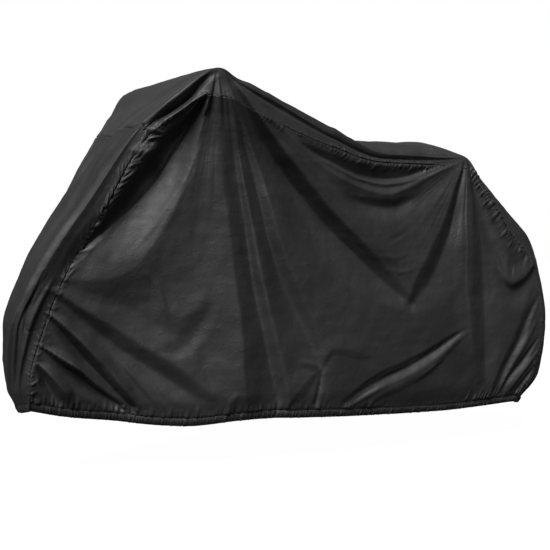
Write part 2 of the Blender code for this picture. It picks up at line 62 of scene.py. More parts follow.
# Cross-sections of the strip from the front hem to the rear hem, each with five points across.
STATIONS = [
    # name, left seam, left ridge, crown, right ridge, right seam
    ("front_hem", (-0.865, -0.175, 0.208), (-0.882, -0.135, 0.200), (-0.888, -0.088, 0.196),
     (-0.872, -0.040, 0.200), (-0.835, -0.010, 0.208)),
    ("wheel_low", (-0.866, -0.190, 0.280), (-0.905, -0.150, 0.270), (-0.919, -0.092, 0.262),
     (-0.895, -0.030, 0.270), (-0.840, 0.005, 0.280)),
    ("wheel_nose", (-0.826, -0.195, 0.440), (-0.895, -0.192, 0.438), (-0.934, -0.095, 0.436),
     (-0.895, -0.020, 0.438), (-0.806, 0.020, 0.440)),
    ("wheel_shoulder", (-0.768, -0.205, 0.585), (-0.824, -0.217, 0.612), (-0.878, -0.070, 0.606),
     (-0.843, 0.005, 0.605), (-0.750, 0.050, 0.585)),
    ("front_mid", (-0.653, -0.220, 0.784), (-0.691, -0.225, 0.813), (-0.745, 0.000, 0.814),
     (-0.730, 0.100, 0.822), (-0.640, 0.130, 0.784)),
    ("cross_seam", (-0.530, -0.235, 0.990), (-0.546, -0.228, 1.022), (-0.598, 0.060, 1.022),
     (-0.610, 0.205, 1.024), (-0.520, 0.245, 0.985)),
    ("bar_front", (-0.425, -0.262, 1.066), (-0.446, -0.250, 1.103), (-0.505, 0.020, 1.116),
     (-0.553, 0.254, 1.105), (-0.490, 0.290, 1.060)),
    ("bar_top", (-0.360, -0.284, 1.107), (-0.336, -0.283, 1.187), (-0.416, 0.000, 1.192),
     (-0.502, 0.281, 1.180), (-0.470, 0.302, 1.107)),
    ("bar_rear", (-0.290, -0.283, 1.099), (-0.272, -0.272, 1.156), (-0.300, 0.000, 1.164),
     (-0.360, 0.270, 1.150), (-0.350, 0.296, 1.088)),
    ("behind_bar", (-0.199, -0.268, 1.058), (-0.180, -0.256, 1.120), (-0.190, 0.000, 1.120),
     (-0.215, 0.256, 1.108), (-0.220, 0.276, 1.046)),
    ("mid", (0.041, -0.220, 0.975), (0.052, -0.203, 1.018), (0.050, 0.000, 1.032),
     (0.050, 0.200, 1.008), (0.041, 0.222, 0.965)),
    ("saddle_nose", (0.242, -0.170, 0.935), (0.260, -0.155, 0.962), (0.270, 0.000, 1.020),
     (0.260, 0.150, 0.975), (0.242, 0.172, 0.930)),
    ("saddle_top", (0.440, -0.135, 0.935), (0.440, -0.125, 0.962), (0.430, 0.000, 1.024),
     (0.440, 0.120, 0.985), (0.440, 0.140, 0.930)),
    ("saddle_rear", (0.578, -0.116, 0.922), (0.562, -0.106, 0.968), (0.545, 0.000, 0.994),
     (0.558, 0.100, 0.968), (0.578, 0.120, 0.920)),
    ("saddle_back", (0.634, -0.116, 0.850), (0.624, -0.098, 0.900), (0.622, 0.000, 0.906),
     (0.620, 0.096, 0.900), (0.634, 0.120, 0.850)),
    ("rear_slope", (0.715, -0.112, 0.730), (0.760, -0.074, 0.776), (0.770, 0.000, 0.780),
     (0.758, 0.076, 0.776), (0.715, 0.116, 0.728)),
    ("rear_kink", (0.780, -0.107, 0.662), (0.843, -0.060, 0.688), (0.852, 0.000, 0.690),
     (0.843, 0.060, 0.688), (0.780, 0.110, 0.660)),
    ("rear_shoulder", (0.841, -0.098, 0.600), (0.876, -0.055, 0.612), (0.885, 0.000, 0.616),
     (0.876, 0.055, 0.612), (0.841, 0.100, 0.600)),
    ("rear_nose", (0.884, -0.088, 0.400), (0.916, -0.050, 0.400), (0.928, 0.000, 0.400),
     (0.916, 0.050, 0.400), (0.884, 0.088, 0.400)),
    ("rear_low", (0.846, -0.078, 0.225), (0.890, -0.045, 0.222), (0.903, 0.000, 0.220),
     (0.890, 0.045, 0.222), (0.846, 0.078, 0.225)),
    ("rear_hem", (0.777, -0.068, 0.128), (0.806, -0.038, 0.122), (0.815, 0.000, 0.119),
     (0.806, 0.038, 0.122), (0.777, 0.068, 0.128)),
]
RIDGE = 0.2  # the ridges lie this share of the way in from each seam
ACROSS = (0.0, RIDGE, 0.5, 1 - RIDGE, 1.0)  # where the five points of a station lie
CROSS_SEAM = "cross_seam"
FRONT_CORNER = "bar_top"
REAR_CORNER = "saddle_rear"

HEM = [
    # x, left y, left z, right x, right y, right z
    (-0.865, -0.175, 0.208, -0.835, -0.010, 0.208),
    (-0.760, -0.158, 0.182, -0.740, 0.035, 0.188),
    (-0.633, -0.142, 0.162, -0.620, 0.075, 0.168),
    (-0.474, -0.165, 0.140, -0.474, 0.120, 0.150),
    (-0.400, -0.180, 0.136, -0.400, 0.140, 0.138),
    (-0.221, -0.200, 0.149, -0.221, 0.170, 0.140),
    (-0.027, -0.200, 0.143, -0.027, 0.185, 0.148),
    (0.227, -0.160, 0.130, 0.227, 0.150, 0.132),
    (0.512, -0.105, 0.120, 0.512, 0.105, 0.122),
    (0.777, -0.068, 0.128, 0.777, 0.068, 0.128),
]

# A fold follows its path. Its widths to the path's left and right and its height outwards are each
# given at even steps along the path, and crisp runs from 0 for a soft fold to 1 for a crease.
Fold = namedtuple("Fold", "name path left right height crisp")

# The left side, front to rear. Paths are x and z.
LEFT_FOLDS = [
    Fold("seam_valley", ((-0.372, 1.096), (-0.400, 1.026), (-0.444, 0.950), (-0.504, 0.860),
         (-0.564, 0.793), (-0.632, 0.734), (-0.700, 0.682)),
         (0.008, 0.026, 0.056, 0.082, 0.108, 0.124, 0.080),
         (0.010, 0.044, 0.070, 0.074, 0.060, 0.036, 0.014),
         (-0.014, -0.028, -0.038, -0.042, -0.040, -0.028, -0.004), 0.45),
    Fold("seam_hollow", ((-0.420, 1.060), (-0.462, 0.990), (-0.516, 0.912), (-0.576, 0.838),
         (-0.640, 0.760), (-0.706, 0.684), (-0.770, 0.600)),
         (0.012, 0.030, 0.034, 0.034, 0.030, 0.026, 0.012),
         (0.010, 0.030, 0.034, 0.036, 0.036, 0.040, 0.020),
         (-0.002, -0.006, -0.008, -0.008, -0.008, -0.008, -0.002), 0.2),
    Fold("slot", ((-0.376, 1.098), (-0.398, 1.062), (-0.424, 1.026), (-0.460, 0.966)),
         (0.008, 0.012, 0.014, 0.010), (0.008, 0.014, 0.018, 0.012),
         (-0.010, -0.016, -0.010, 0.0), 0.4),
    Fold("slot_roll", ((-0.378, 1.112), (-0.370, 1.098), (-0.368, 1.080), (-0.380, 1.045)),
         (0.008, 0.012, 0.012, 0.008), (0.008, 0.010, 0.010, 0.008),
         (0.004, 0.008, 0.007, 0.0), 0.3),
    Fold("flap_crest", ((-0.372, 1.093), (-0.376, 1.034), (-0.396, 0.893), (-0.432, 0.832),
         (-0.476, 0.755), (-0.518, 0.676), (-0.560, 0.620), (-0.617, 0.590), (-0.686, 0.577),
         (-0.762, 0.586)),
         (0.010, 0.070, 0.130, 0.150, 0.130, 0.080, 0.030),
         (0.008, 0.026, 0.056, 0.086, 0.112, 0.100, 0.040),
         (0.002, 0.006, 0.009, 0.011, 0.014, 0.014, 0.002), 0.85),
    Fold("flap_line", ((-0.374, 0.983), (-0.410, 0.896), (-0.463, 0.809), (-0.526, 0.717),
         (-0.584, 0.650)),
         (0.008, 0.012, 0.014, 0.010), (0.008, 0.012, 0.014, 0.010),
         (0.0, 0.0022, 0.0022, 0.0), 0.4),
    Fold("pull_crest", ((-0.560, 1.020), (-0.520, 1.010), (-0.478, 0.996)),
         (0.006, 0.012, 0.004), (0.006, 0.016, 0.006), (0.004, 0.010, 0.0), 0.7),
    Fold("pull_bulge", ((-0.580, 0.950), (-0.530, 0.945), (-0.492, 0.968)),
         (0.012, 0.034, 0.014), (0.012, 0.026, 0.010), (0.002, 0.012, 0.002), 0.4),
    Fold("ruffle", ((-0.372, 1.112), (-0.410, 1.088), (-0.450, 1.058), (-0.484, 1.034),
         (-0.510, 1.012)),
         (0.006, 0.010, 0.012, 0.010, 0.006), (0.006, 0.014, 0.018, 0.014, 0.006),
         (0.004, 0.012, 0.014, 0.012, 0.002), 0.4),
    Fold("neck_crease", ((-0.338, 1.188), (-0.344, 1.140), (-0.350, 1.100), (-0.352, 1.040)),
         (0.003, 0.010, 0.016, 0.012), (0.003, 0.006, 0.008, 0.010),
         (-0.001, -0.007, -0.008, 0.0), 0.7),
    Fold("neck_line", ((-0.336, 1.188), (-0.326, 1.130), (-0.318, 1.080), (-0.306, 1.000)),
         (0.003, 0.006, 0.008, 0.008), (0.003, 0.006, 0.008, 0.008),
         (0.0, -0.003, -0.003, 0.0), 0.6),
    Fold("crest_1", ((-0.336, 1.188), (-0.328, 1.068), (-0.316, 0.958), (-0.314, 0.868),
         (-0.295, 0.739), (-0.274, 0.574), (-0.254, 0.407), (-0.248, 0.273), (-0.239, 0.160)),
         (0.002, 0.036, 0.052, 0.058, 0.070, 0.096, 0.100),
         (0.002, 0.030, 0.070, 0.110, 0.120, 0.110, 0.080),
         (0.0, 0.007, 0.011, 0.016, 0.023, 0.026, 0.016), 0.8),
    Fold("floor_1", ((-0.322, 1.130), (-0.304, 1.090), (-0.275, 0.958), (-0.259, 0.854),
         (-0.238, 0.740), (-0.214, 0.572), (-0.177, 0.403), (-0.150, 0.269), (-0.131, 0.160)),
         (0.002, 0.008, 0.012, 0.018, 0.026, 0.032, 0.036),
         (0.002, 0.034, 0.052, 0.058, 0.070, 0.096, 0.100),
         (0.0, -0.004, -0.007, -0.011, -0.016, -0.018, -0.012), 0.8),
    Fold("crest_2", ((-0.332, 1.188), (-0.298, 1.090), (-0.268, 0.959), (-0.250, 0.869),
         (-0.222, 0.739), (-0.190, 0.572), (-0.149, 0.404), (-0.118, 0.300), (-0.098, 0.180)),
         (0.002, 0.026, 0.038, 0.050, 0.066, 0.100, 0.110),
         (0.002, 0.010, 0.016, 0.022, 0.028, 0.032, 0.030),
         (0.0, 0.006, 0.010, 0.013, 0.016, 0.015, 0.006), 0.85),
    Fold("floor_2", ((-0.318, 1.130), (-0.276, 1.069), (-0.241, 0.959), (-0.211, 0.870),
         (-0.173, 0.722), (-0.143, 0.632), (-0.104, 0.537), (-0.038, 0.398), (0.000, 0.300)),
         (0.002, 0.014, 0.024, 0.030, 0.036, 0.040, 0.030),
         (0.002, 0.026, 0.038, 0.050, 0.066, 0.100, 0.100),
         (0.0, -0.005, -0.009, -0.014, -0.017, -0.015, -0.005), 0.7),
    Fold("crest_3", ((-0.326, 1.188), (-0.271, 1.069), (-0.220, 0.960), (-0.186, 0.870),
         (-0.140, 0.706), (-0.072, 0.536), (-0.006, 0.400), (0.024, 0.320)),
         (0.002, 0.040, 0.080, 0.100, 0.120, 0.130, 0.060),
         (0.002, 0.012, 0.022, 0.028, 0.034, 0.034, 0.020),
         (0.0, 0.006, 0.011, 0.013, 0.013, 0.009, 0.001), 0.7),
    Fold("soft_floor", ((-0.262, 1.060), (-0.182, 0.953), (-0.121, 0.871), (-0.026, 0.725),
         (0.087, 0.581), (0.293, 0.422)),
         (0.006, 0.034, 0.044, 0.046, 0.046, 0.030), (0.006, 0.044, 0.056, 0.060, 0.056, 0.030),
         (0.0, -0.005, -0.006, -0.006, -0.005, -0.001), 0.3),
    Fold("long_floor", ((-0.316, 1.180), (-0.262, 1.100), (-0.196, 1.000), (-0.135, 0.924),
         (-0.070, 0.851), (0.028, 0.742), (0.128, 0.652), (0.219, 0.572), (0.326, 0.484)),
         (0.002, 0.018, 0.030, 0.036, 0.040, 0.040, 0.036, 0.024),
         (0.002, 0.040, 0.080, 0.110, 0.120, 0.110, 0.080, 0.030),
         (-0.001, -0.018, -0.031, -0.040, -0.041, -0.035, -0.026, -0.008), 0.8),
    Fold("long_rim", ((-0.310, 1.180), (-0.240, 1.090), (-0.165, 1.010), (-0.092, 0.937),
         (0.004, 0.843), (0.114, 0.749), (0.210, 0.664), (0.300, 0.590), (0.340, 0.495)),
         (0.002, 0.024, 0.050, 0.070, 0.070, 0.060, 0.050, 0.020),
         (0.002, 0.016, 0.030, 0.040, 0.040, 0.040, 0.034, 0.020),
         (0.0, 0.004, 0.008, 0.010, 0.010, 0.008, 0.006, 0.001), 0.6),
    Fold("neck_fold", ((-0.314, 1.180), (-0.240, 1.108), (-0.170, 1.048), (-0.120, 1.010)),
         (0.002, 0.010, 0.014, 0.010), (0.002, 0.012, 0.016, 0.010),
         (0.0, 0.006, 0.006, 0.0), 0.6),
    Fold("swag_rib", ((-0.158, 1.038), (-0.100, 0.993), (-0.050, 0.936), (-0.020, 0.898),
         (0.029, 0.845), (0.089, 0.799)),
         (0.008, 0.022, 0.026, 0.024, 0.016), (0.010, 0.026, 0.030, 0.026, 0.016),
         (0.0, 0.005, 0.006, 0.005, 0.0), 0.8),
    Fold("swag_floor", ((-0.085, 0.990), (-0.040, 0.966), (0.036, 0.934), (0.148, 0.896),
         (0.240, 0.886), (0.351, 0.898), (0.458, 0.928), (0.556, 0.957)),
         (0.006, 0.022, 0.034, 0.040, 0.036, 0.020, 0.004),
         (0.006, 0.014, 0.018, 0.018, 0.016, 0.012, 0.004),
         (0.0, -0.008, -0.013, -0.016, -0.012, -0.005, 0.0), 0.6),
    Fold("swag_crest", ((-0.050, 0.955), (0.025, 0.905), (0.097, 0.871), (0.180, 0.845),
         (0.247, 0.834), (0.306, 0.850), (0.394, 0.890), (0.485, 0.930), (0.558, 0.955)),
         (0.006, 0.018, 0.024, 0.030, 0.030, 0.020, 0.004),
         (0.010, 0.028, 0.040, 0.044, 0.044, 0.030, 0.004),
         (0.0, 0.006, 0.010, 0.012, 0.011, 0.007, 0.001), 0.85),
    Fold("swag_line", ((-0.010, 0.946), (0.082, 0.903), (0.166, 0.876), (0.232, 0.866),
         (0.293, 0.874), (0.396, 0.908), (0.486, 0.937)),
         (0.005, 0.008, 0.010, 0.010, 0.008, 0.004), (0.005, 0.010, 0.012, 0.012, 0.010, 0.004),
         (0.0, 0.005, 0.007, 0.006, 0.005, 0.0), 0.8),
    Fold("swag_under", ((0.060, 0.830), (0.160, 0.800), (0.260, 0.796), (0.360, 0.832)),
         (0.016, 0.026, 0.026, 0.016), (0.024, 0.046, 0.046, 0.024),
         (0.0, -0.007, -0.007, 0.0), 0.3),
    Fold("swag_low", ((0.040, 0.800), (0.130, 0.742), (0.245, 0.715), (0.370, 0.762),
         (0.490, 0.880)),
         (0.030, 0.070, 0.080, 0.050, 0.010), (0.040, 0.100, 0.120, 0.070, 0.010),
         (0.0, 0.004, 0.005, 0.003, 0.0), 0.1),
    Fold("bag_wrinkle", ((0.200, 0.640), (0.260, 0.632), (0.330, 0.650)),
         (0.012, 0.014, 0.012), (0.012, 0.014, 0.012), (0.0, 0.0022, 0.0), 0.2),
    Fold("bag_wrinkle_2", ((0.235, 0.595), (0.300, 0.588), (0.360, 0.604)),
         (0.010, 0.012, 0.010), (0.010, 0.012, 0.010), (0.0, 0.0022, 0.0), 0.2),
    Fold("bag_wrinkle_3", ((0.225, 0.680), (0.285, 0.700), (0.330, 0.735)),
         (0.012, 0.014, 0.012), (0.012, 0.014, 0.012), (0.0, -0.0022, 0.0), 0.2),
    Fold("saddle_crest", ((0.562, 0.966), (0.539, 0.922), (0.498, 0.850), (0.451, 0.739),
         (0.402, 0.658), (0.345, 0.561), (0.318, 0.494)),
         (0.002, 0.020, 0.036, 0.048, 0.060, 0.056, 0.016),
         (0.002, 0.050, 0.120, 0.150, 0.130, 0.080, 0.030),
         (0.001, 0.007, 0.012, 0.013, 0.012, 0.010, 0.003), 0.85),
    Fold("saddle_floor", ((0.563, 0.964), (0.552, 0.922), (0.532, 0.852), (0.502, 0.740),
         (0.464, 0.657), (0.418, 0.566), (0.340, 0.478)),
         (0.002, 0.014, 0.030, 0.054, 0.090, 0.100, 0.030),
         (0.002, 0.020, 0.036, 0.048, 0.060, 0.056, 0.016),
         (0.0, -0.007, -0.010, -0.012, -0.012, -0.010, -0.003), 0.7),
    Fold("saddle_thread", ((0.563, 0.940), (0.562, 0.856), (0.556, 0.706), (0.554, 0.553),
         (0.562, 0.470), (0.562, 0.380)),
         (0.004, 0.008, 0.008, 0.006), (0.004, 0.010, 0.010, 0.006),
         (0.0, 0.0018, 0.0018, 0.0), 0.4),
    Fold("saddle_crest_2", ((0.566, 0.966), (0.569, 0.866), (0.570, 0.700), (0.566, 0.557),
         (0.572, 0.379), (0.616, 0.217)),
         (0.002, 0.022, 0.044, 0.058, 0.060, 0.024), (0.002, 0.030, 0.060, 0.070, 0.050, 0.020),
         (0.001, 0.003, 0.006, 0.009, 0.009, 0.003), 0.85),
    Fold("saddle_floor_2", ((0.568, 0.966), (0.592, 0.867), (0.616, 0.700), (0.630, 0.556),
         (0.638, 0.377), (0.646, 0.202)),
         (0.002, 0.026, 0.056, 0.070, 0.060, 0.030),
         (0.002, 0.022, 0.044, 0.058, 0.060, 0.024),
         (0.0, -0.006, -0.011, -0.013, -0.012, -0.004), 0.75),
    Fold("rear_soft", ((0.570, 0.966), (0.622, 0.804), (0.660, 0.706), (0.698, 0.615),
         (0.706, 0.560)),
         (0.003, 0.026, 0.036, 0.036, 0.016), (0.003, 0.030, 0.044, 0.044, 0.022),
         (0.0, -0.012, -0.016, -0.013, -0.001), 0.3),
    Fold("rear_rise", ((0.572, 0.962), (0.640, 0.860), (0.700, 0.740), (0.740, 0.650)),
         (0.003, 0.022, 0.034, 0.026), (0.003, 0.022, 0.030, 0.026),
         (0.0, 0.006, 0.009, 0.002), 0.3),
    Fold("bag_crest", ((0.690, 0.620), (0.705, 0.575), (0.740, 0.545), (0.790, 0.565),
         (0.850, 0.640)),
         (0.020, 0.044, 0.060, 0.050, 0.014), (0.010, 0.018, 0.024, 0.020, 0.010),
         (0.001, 0.008, 0.010, 0.008, 0.001), 0.5),
    Fold("bag_floor", ((0.694, 0.585), (0.708, 0.540), (0.744, 0.514), (0.800, 0.540),
         (0.856, 0.606)),
         (0.010, 0.018, 0.024, 0.020, 0.010), (0.016, 0.050, 0.070, 0.050, 0.016),
         (0.0, -0.004, -0.006, -0.005, 0.0), 0.5),
    Fold("low_floor", ((0.552, 0.396), (0.509, 0.372), (0.442, 0.334), (0.370, 0.300),
         (0.300, 0.274), (0.220, 0.250), (0.150, 0.216), (0.090, 0.180)),
         (0.006, 0.020, 0.026, 0.030, 0.030, 0.020), (0.006, 0.018, 0.022, 0.024, 0.022, 0.014),
         (-0.001, -0.010, -0.013, -0.013, -0.011, -0.004), 0.7),
    Fold("low_crest", ((0.550, 0.376), (0.520, 0.356), (0.466, 0.318), (0.399, 0.273),
         (0.319, 0.236), (0.240, 0.205), (0.178, 0.174)),
         (0.006, 0.018, 0.024, 0.026, 0.022, 0.014), (0.006, 0.030, 0.050, 0.056, 0.044, 0.022),
         (0.001, 0.005, 0.007, 0.007, 0.005, 0.002), 0.5),
    Fold("low_fold", ((0.400, 0.318), (0.320, 0.286), (0.240, 0.262), (0.160, 0.226)),
         (0.006, 0.012, 0.012, 0.008), (0.006, 0.012, 0.012, 0.008),
         (0.0, 0.003, 0.004, 0.001), 0.5),
    Fold("low_line", ((0.480, 0.310), (0.400, 0.262), (0.330, 0.222)),
         (0.006, 0.008, 0.006), (0.006, 0.010, 0.008), (0.0, 0.003, 0.0), 0.5),
    Fold("low_line_2", ((0.250, 0.232), (0.180, 0.204), (0.100, 0.165)),
         (0.008, 0.010, 0.008), (0.008, 0.010, 0.008), (0.0, 0.004, 0.002), 0.5),
    Fold("rear_crest_1", ((0.850, 0.560), (0.790, 0.450), (0.744, 0.358), (0.655, 0.160)),
         (0.008, 0.026, 0.030, 0.026), (0.016, 0.060, 0.070, 0.040), (0.0, 0.004, 0.005, 0.003), 0.7),
    Fold("rear_floor_1", ((0.862, 0.500), (0.820, 0.428), (0.778, 0.339), (0.722, 0.238),
         (0.684, 0.140)),
         (0.008, 0.018, 0.024, 0.024, 0.018), (0.008, 0.026, 0.030, 0.030, 0.026),
         (-0.001, -0.008, -0.009, -0.008, -0.004), 0.6),
    Fold("rear_crest_2", ((0.864, 0.430), (0.801, 0.327), (0.738, 0.237), (0.692, 0.140)),
         (0.006, 0.014, 0.014, 0.012), (0.006, 0.020, 0.024, 0.018),
         (0.0, 0.005, 0.005, 0.003), 0.7),
    Fold("rear_floor_2", ((0.870, 0.360), (0.800, 0.272), (0.740, 0.208), (0.700, 0.140)),
         (0.006, 0.014, 0.014, 0.010), (0.006, 0.016, 0.016, 0.012),
         (0.0, -0.008, -0.008, -0.004), 0.6),
    Fold("rear_crest_3", ((0.868, 0.310), (0.805, 0.240), (0.745, 0.172), (0.725, 0.140)),
         (0.006, 0.014, 0.014, 0.010), (0.006, 0.016, 0.016, 0.012),
         (0.001, 0.007, 0.006, 0.003), 0.7),
    Fold("rear_floor_3", ((0.868, 0.262), (0.815, 0.205), (0.770, 0.150)),
         (0.006, 0.012, 0.010), (0.006, 0.014, 0.012), (0.0, -0.007, -0.004), 0.5),
    Fold("wheel_crest_1", ((-0.824, 0.556), (-0.787, 0.545), (-0.719, 0.500), (-0.642, 0.453),
         (-0.549, 0.389), (-0.465, 0.339), (-0.342, 0.235)),
         (0.008, 0.050, 0.070, 0.070, 0.060, 0.024), (0.006, 0.026, 0.040, 0.044, 0.044, 0.030),
         (0.002, 0.010, 0.012, 0.012, 0.011, 0.005), 0.75),
    Fold("wheel_floor_1", ((-0.810, 0.540), (-0.784, 0.524), (-0.717, 0.462), (-0.654, 0.411),
         (-0.569, 0.349), (-0.471, 0.281), (-0.384, 0.215)),
         (0.004, 0.026, 0.040, 0.044, 0.044, 0.030), (0.004, 0.030, 0.040, 0.044, 0.044, 0.036),
         (0.0, -0.008, -0.010, -0.010, -0.009, -0.004), 0.6),
    Fold("wheel_crest_2", ((-0.822, 0.490), (-0.806, 0.480), (-0.760, 0.435), (-0.704, 0.377),
         (-0.661, 0.317), (-0.617, 0.258), (-0.578, 0.199)),
         (0.003, 0.030, 0.040, 0.046, 0.046, 0.036), (0.003, 0.020, 0.028, 0.032, 0.030, 0.018),
         (0.002, 0.020, 0.029, 0.032, 0.030, 0.016), 0.9),
    Fold("wheel_floor_2", ((-0.824, 0.486), (-0.789, 0.452), (-0.742, 0.394), (-0.697, 0.340),
         (-0.645, 0.281), (-0.600, 0.232), (-0.570, 0.200)),
         (0.003, 0.020, 0.028, 0.028, 0.022, 0.014), (0.003, 0.020, 0.032, 0.038, 0.038, 0.030),
         (-0.001, -0.021, -0.030, -0.037, -0.040, -0.030), 0.75),
    Fold("wheel_crest_3", ((-0.842, 0.402), (-0.826, 0.389), (-0.784, 0.361), (-0.727, 0.321),
         (-0.679, 0.276), (-0.627, 0.230), (-0.602, 0.203)),
         (0.003, 0.018, 0.026, 0.030, 0.028, 0.018), (0.003, 0.014, 0.018, 0.016, 0.014, 0.010),
         (0.002, 0.017, 0.025, 0.026, 0.018, 0.008), 0.9),
    Fold("wheel_floor_3", ((-0.844, 0.396), (-0.815, 0.375), (-0.773, 0.337), (-0.720, 0.298),
         (-0.662, 0.250), (-0.604, 0.206)),
         (0.003, 0.014, 0.018, 0.016, 0.014, 0.010), (0.003, 0.020, 0.034, 0.040, 0.036, 0.024),
         (-0.001, -0.013, -0.018, -0.021, -0.020, -0.014), 0.75),
    Fold("wheel_crest_4", ((-0.848, 0.348), (-0.834, 0.338), (-0.803, 0.305), (-0.774, 0.269),
         (-0.748, 0.225)),
         (0.003, 0.022, 0.030, 0.026, 0.016), (0.003, 0.014, 0.024, 0.024, 0.014),
         (0.002, 0.013, 0.019, 0.018, 0.008), 0.85),
    Fold("wheel_floor_4", ((-0.850, 0.340), (-0.832, 0.315), (-0.813, 0.272), (-0.786, 0.225)),
         (0.003, 0.014, 0.024, 0.022, 0.014), (0.003, 0.014, 0.022, 0.020, 0.012),
         (0.0, -0.010, -0.016, -0.014, -0.007), 0.7),
    Fold("wheel_line", ((-0.640, 0.375), (-0.597, 0.327), (-0.550, 0.271), (-0.500, 0.205)),
         (0.006, 0.012, 0.012, 0.008), (0.006, 0.012, 0.012, 0.008),
         (0.0, 0.004, 0.004, 0.0), 0.6),
    Fold("wheel_line_2", ((-0.560, 0.330), (-0.512, 0.268), (-0.470, 0.200)),
         (0.006, 0.010, 0.008), (0.006, 0.010, 0.008), (0.0, -0.003, 0.0), 0.5),
    Fold("facet_crest", ((-0.500, 0.580), (-0.478, 0.490), (-0.432, 0.464), (-0.392, 0.490),
         (-0.352, 0.560)),
         (0.012, 0.034, 0.046, 0.040, 0.014), (0.014, 0.040, 0.050, 0.036, 0.014),
         (0.001, 0.004, 0.005, 0.004, 0.0), 0.7),
    Fold("facet_floor", ((-0.513, 0.362), (-0.447, 0.367), (-0.397, 0.403), (-0.360, 0.462),
         (-0.328, 0.525)),
         (0.010, 0.034, 0.044, 0.036, 0.012), (0.012, 0.030, 0.036, 0.030, 0.012),
         (0.0, -0.004, -0.005, -0.004, 0.0), 0.5),
    Fold("facet_line", ((-0.560, 0.615), (-0.505, 0.560), (-0.482, 0.500), (-0.474, 0.462)),
         (0.008, 0.014, 0.014, 0.010), (0.008, 0.016, 0.016, 0.010),
         (0.0, 0.003, 0.003, 0.001), 0.6),
    Fold("crank_arch", ((0.008, 0.292), (0.020, 0.330), (0.048, 0.356), (0.100, 0.352),
         (0.180, 0.322)),
         (0.010, 0.040, 0.050, 0.024), (0.004, 0.020, 0.030, 0.016),
         (0.001, 0.005, 0.006, 0.0), 0.7),
    Fold("crank_notch", ((0.008, 0.292), (0.002, 0.250), (-0.013, 0.187)),
         (0.004, 0.012, 0.014), (0.004, 0.008, 0.010), (-0.001, -0.006, -0.006), 0.7),
    Fold("crank_facet", ((0.006, 0.290), (-0.030, 0.312), (-0.062, 0.322)),
         (0.004, 0.022, 0.016), (0.004, 0.014, 0.010), (0.001, 0.007, 0.001), 0.8),
    Fold("crank_facet_2", ((0.004, 0.292), (-0.030, 0.272), (-0.070, 0.236), (-0.104, 0.190)),
         (0.004, 0.024, 0.034, 0.020), (0.006, 0.040, 0.060, 0.040), (0.001, 0.006, 0.008, 0.003), 0.8),
    Fold("low_tuck", ((-0.300, 0.150), (-0.288, 0.205), (-0.262, 0.240)),
         (0.010, 0.014, 0.010), (0.012, 0.024, 0.014), (0.004, 0.005, 0.0), 0.4),
    Fold("low_tuck_2", ((-0.135, 0.150), (-0.130, 0.225), (-0.118, 0.290)),
         (0.010, 0.014, 0.008), (0.008, 0.012, 0.008), (-0.003, -0.004, 0.0), 0.4),
]

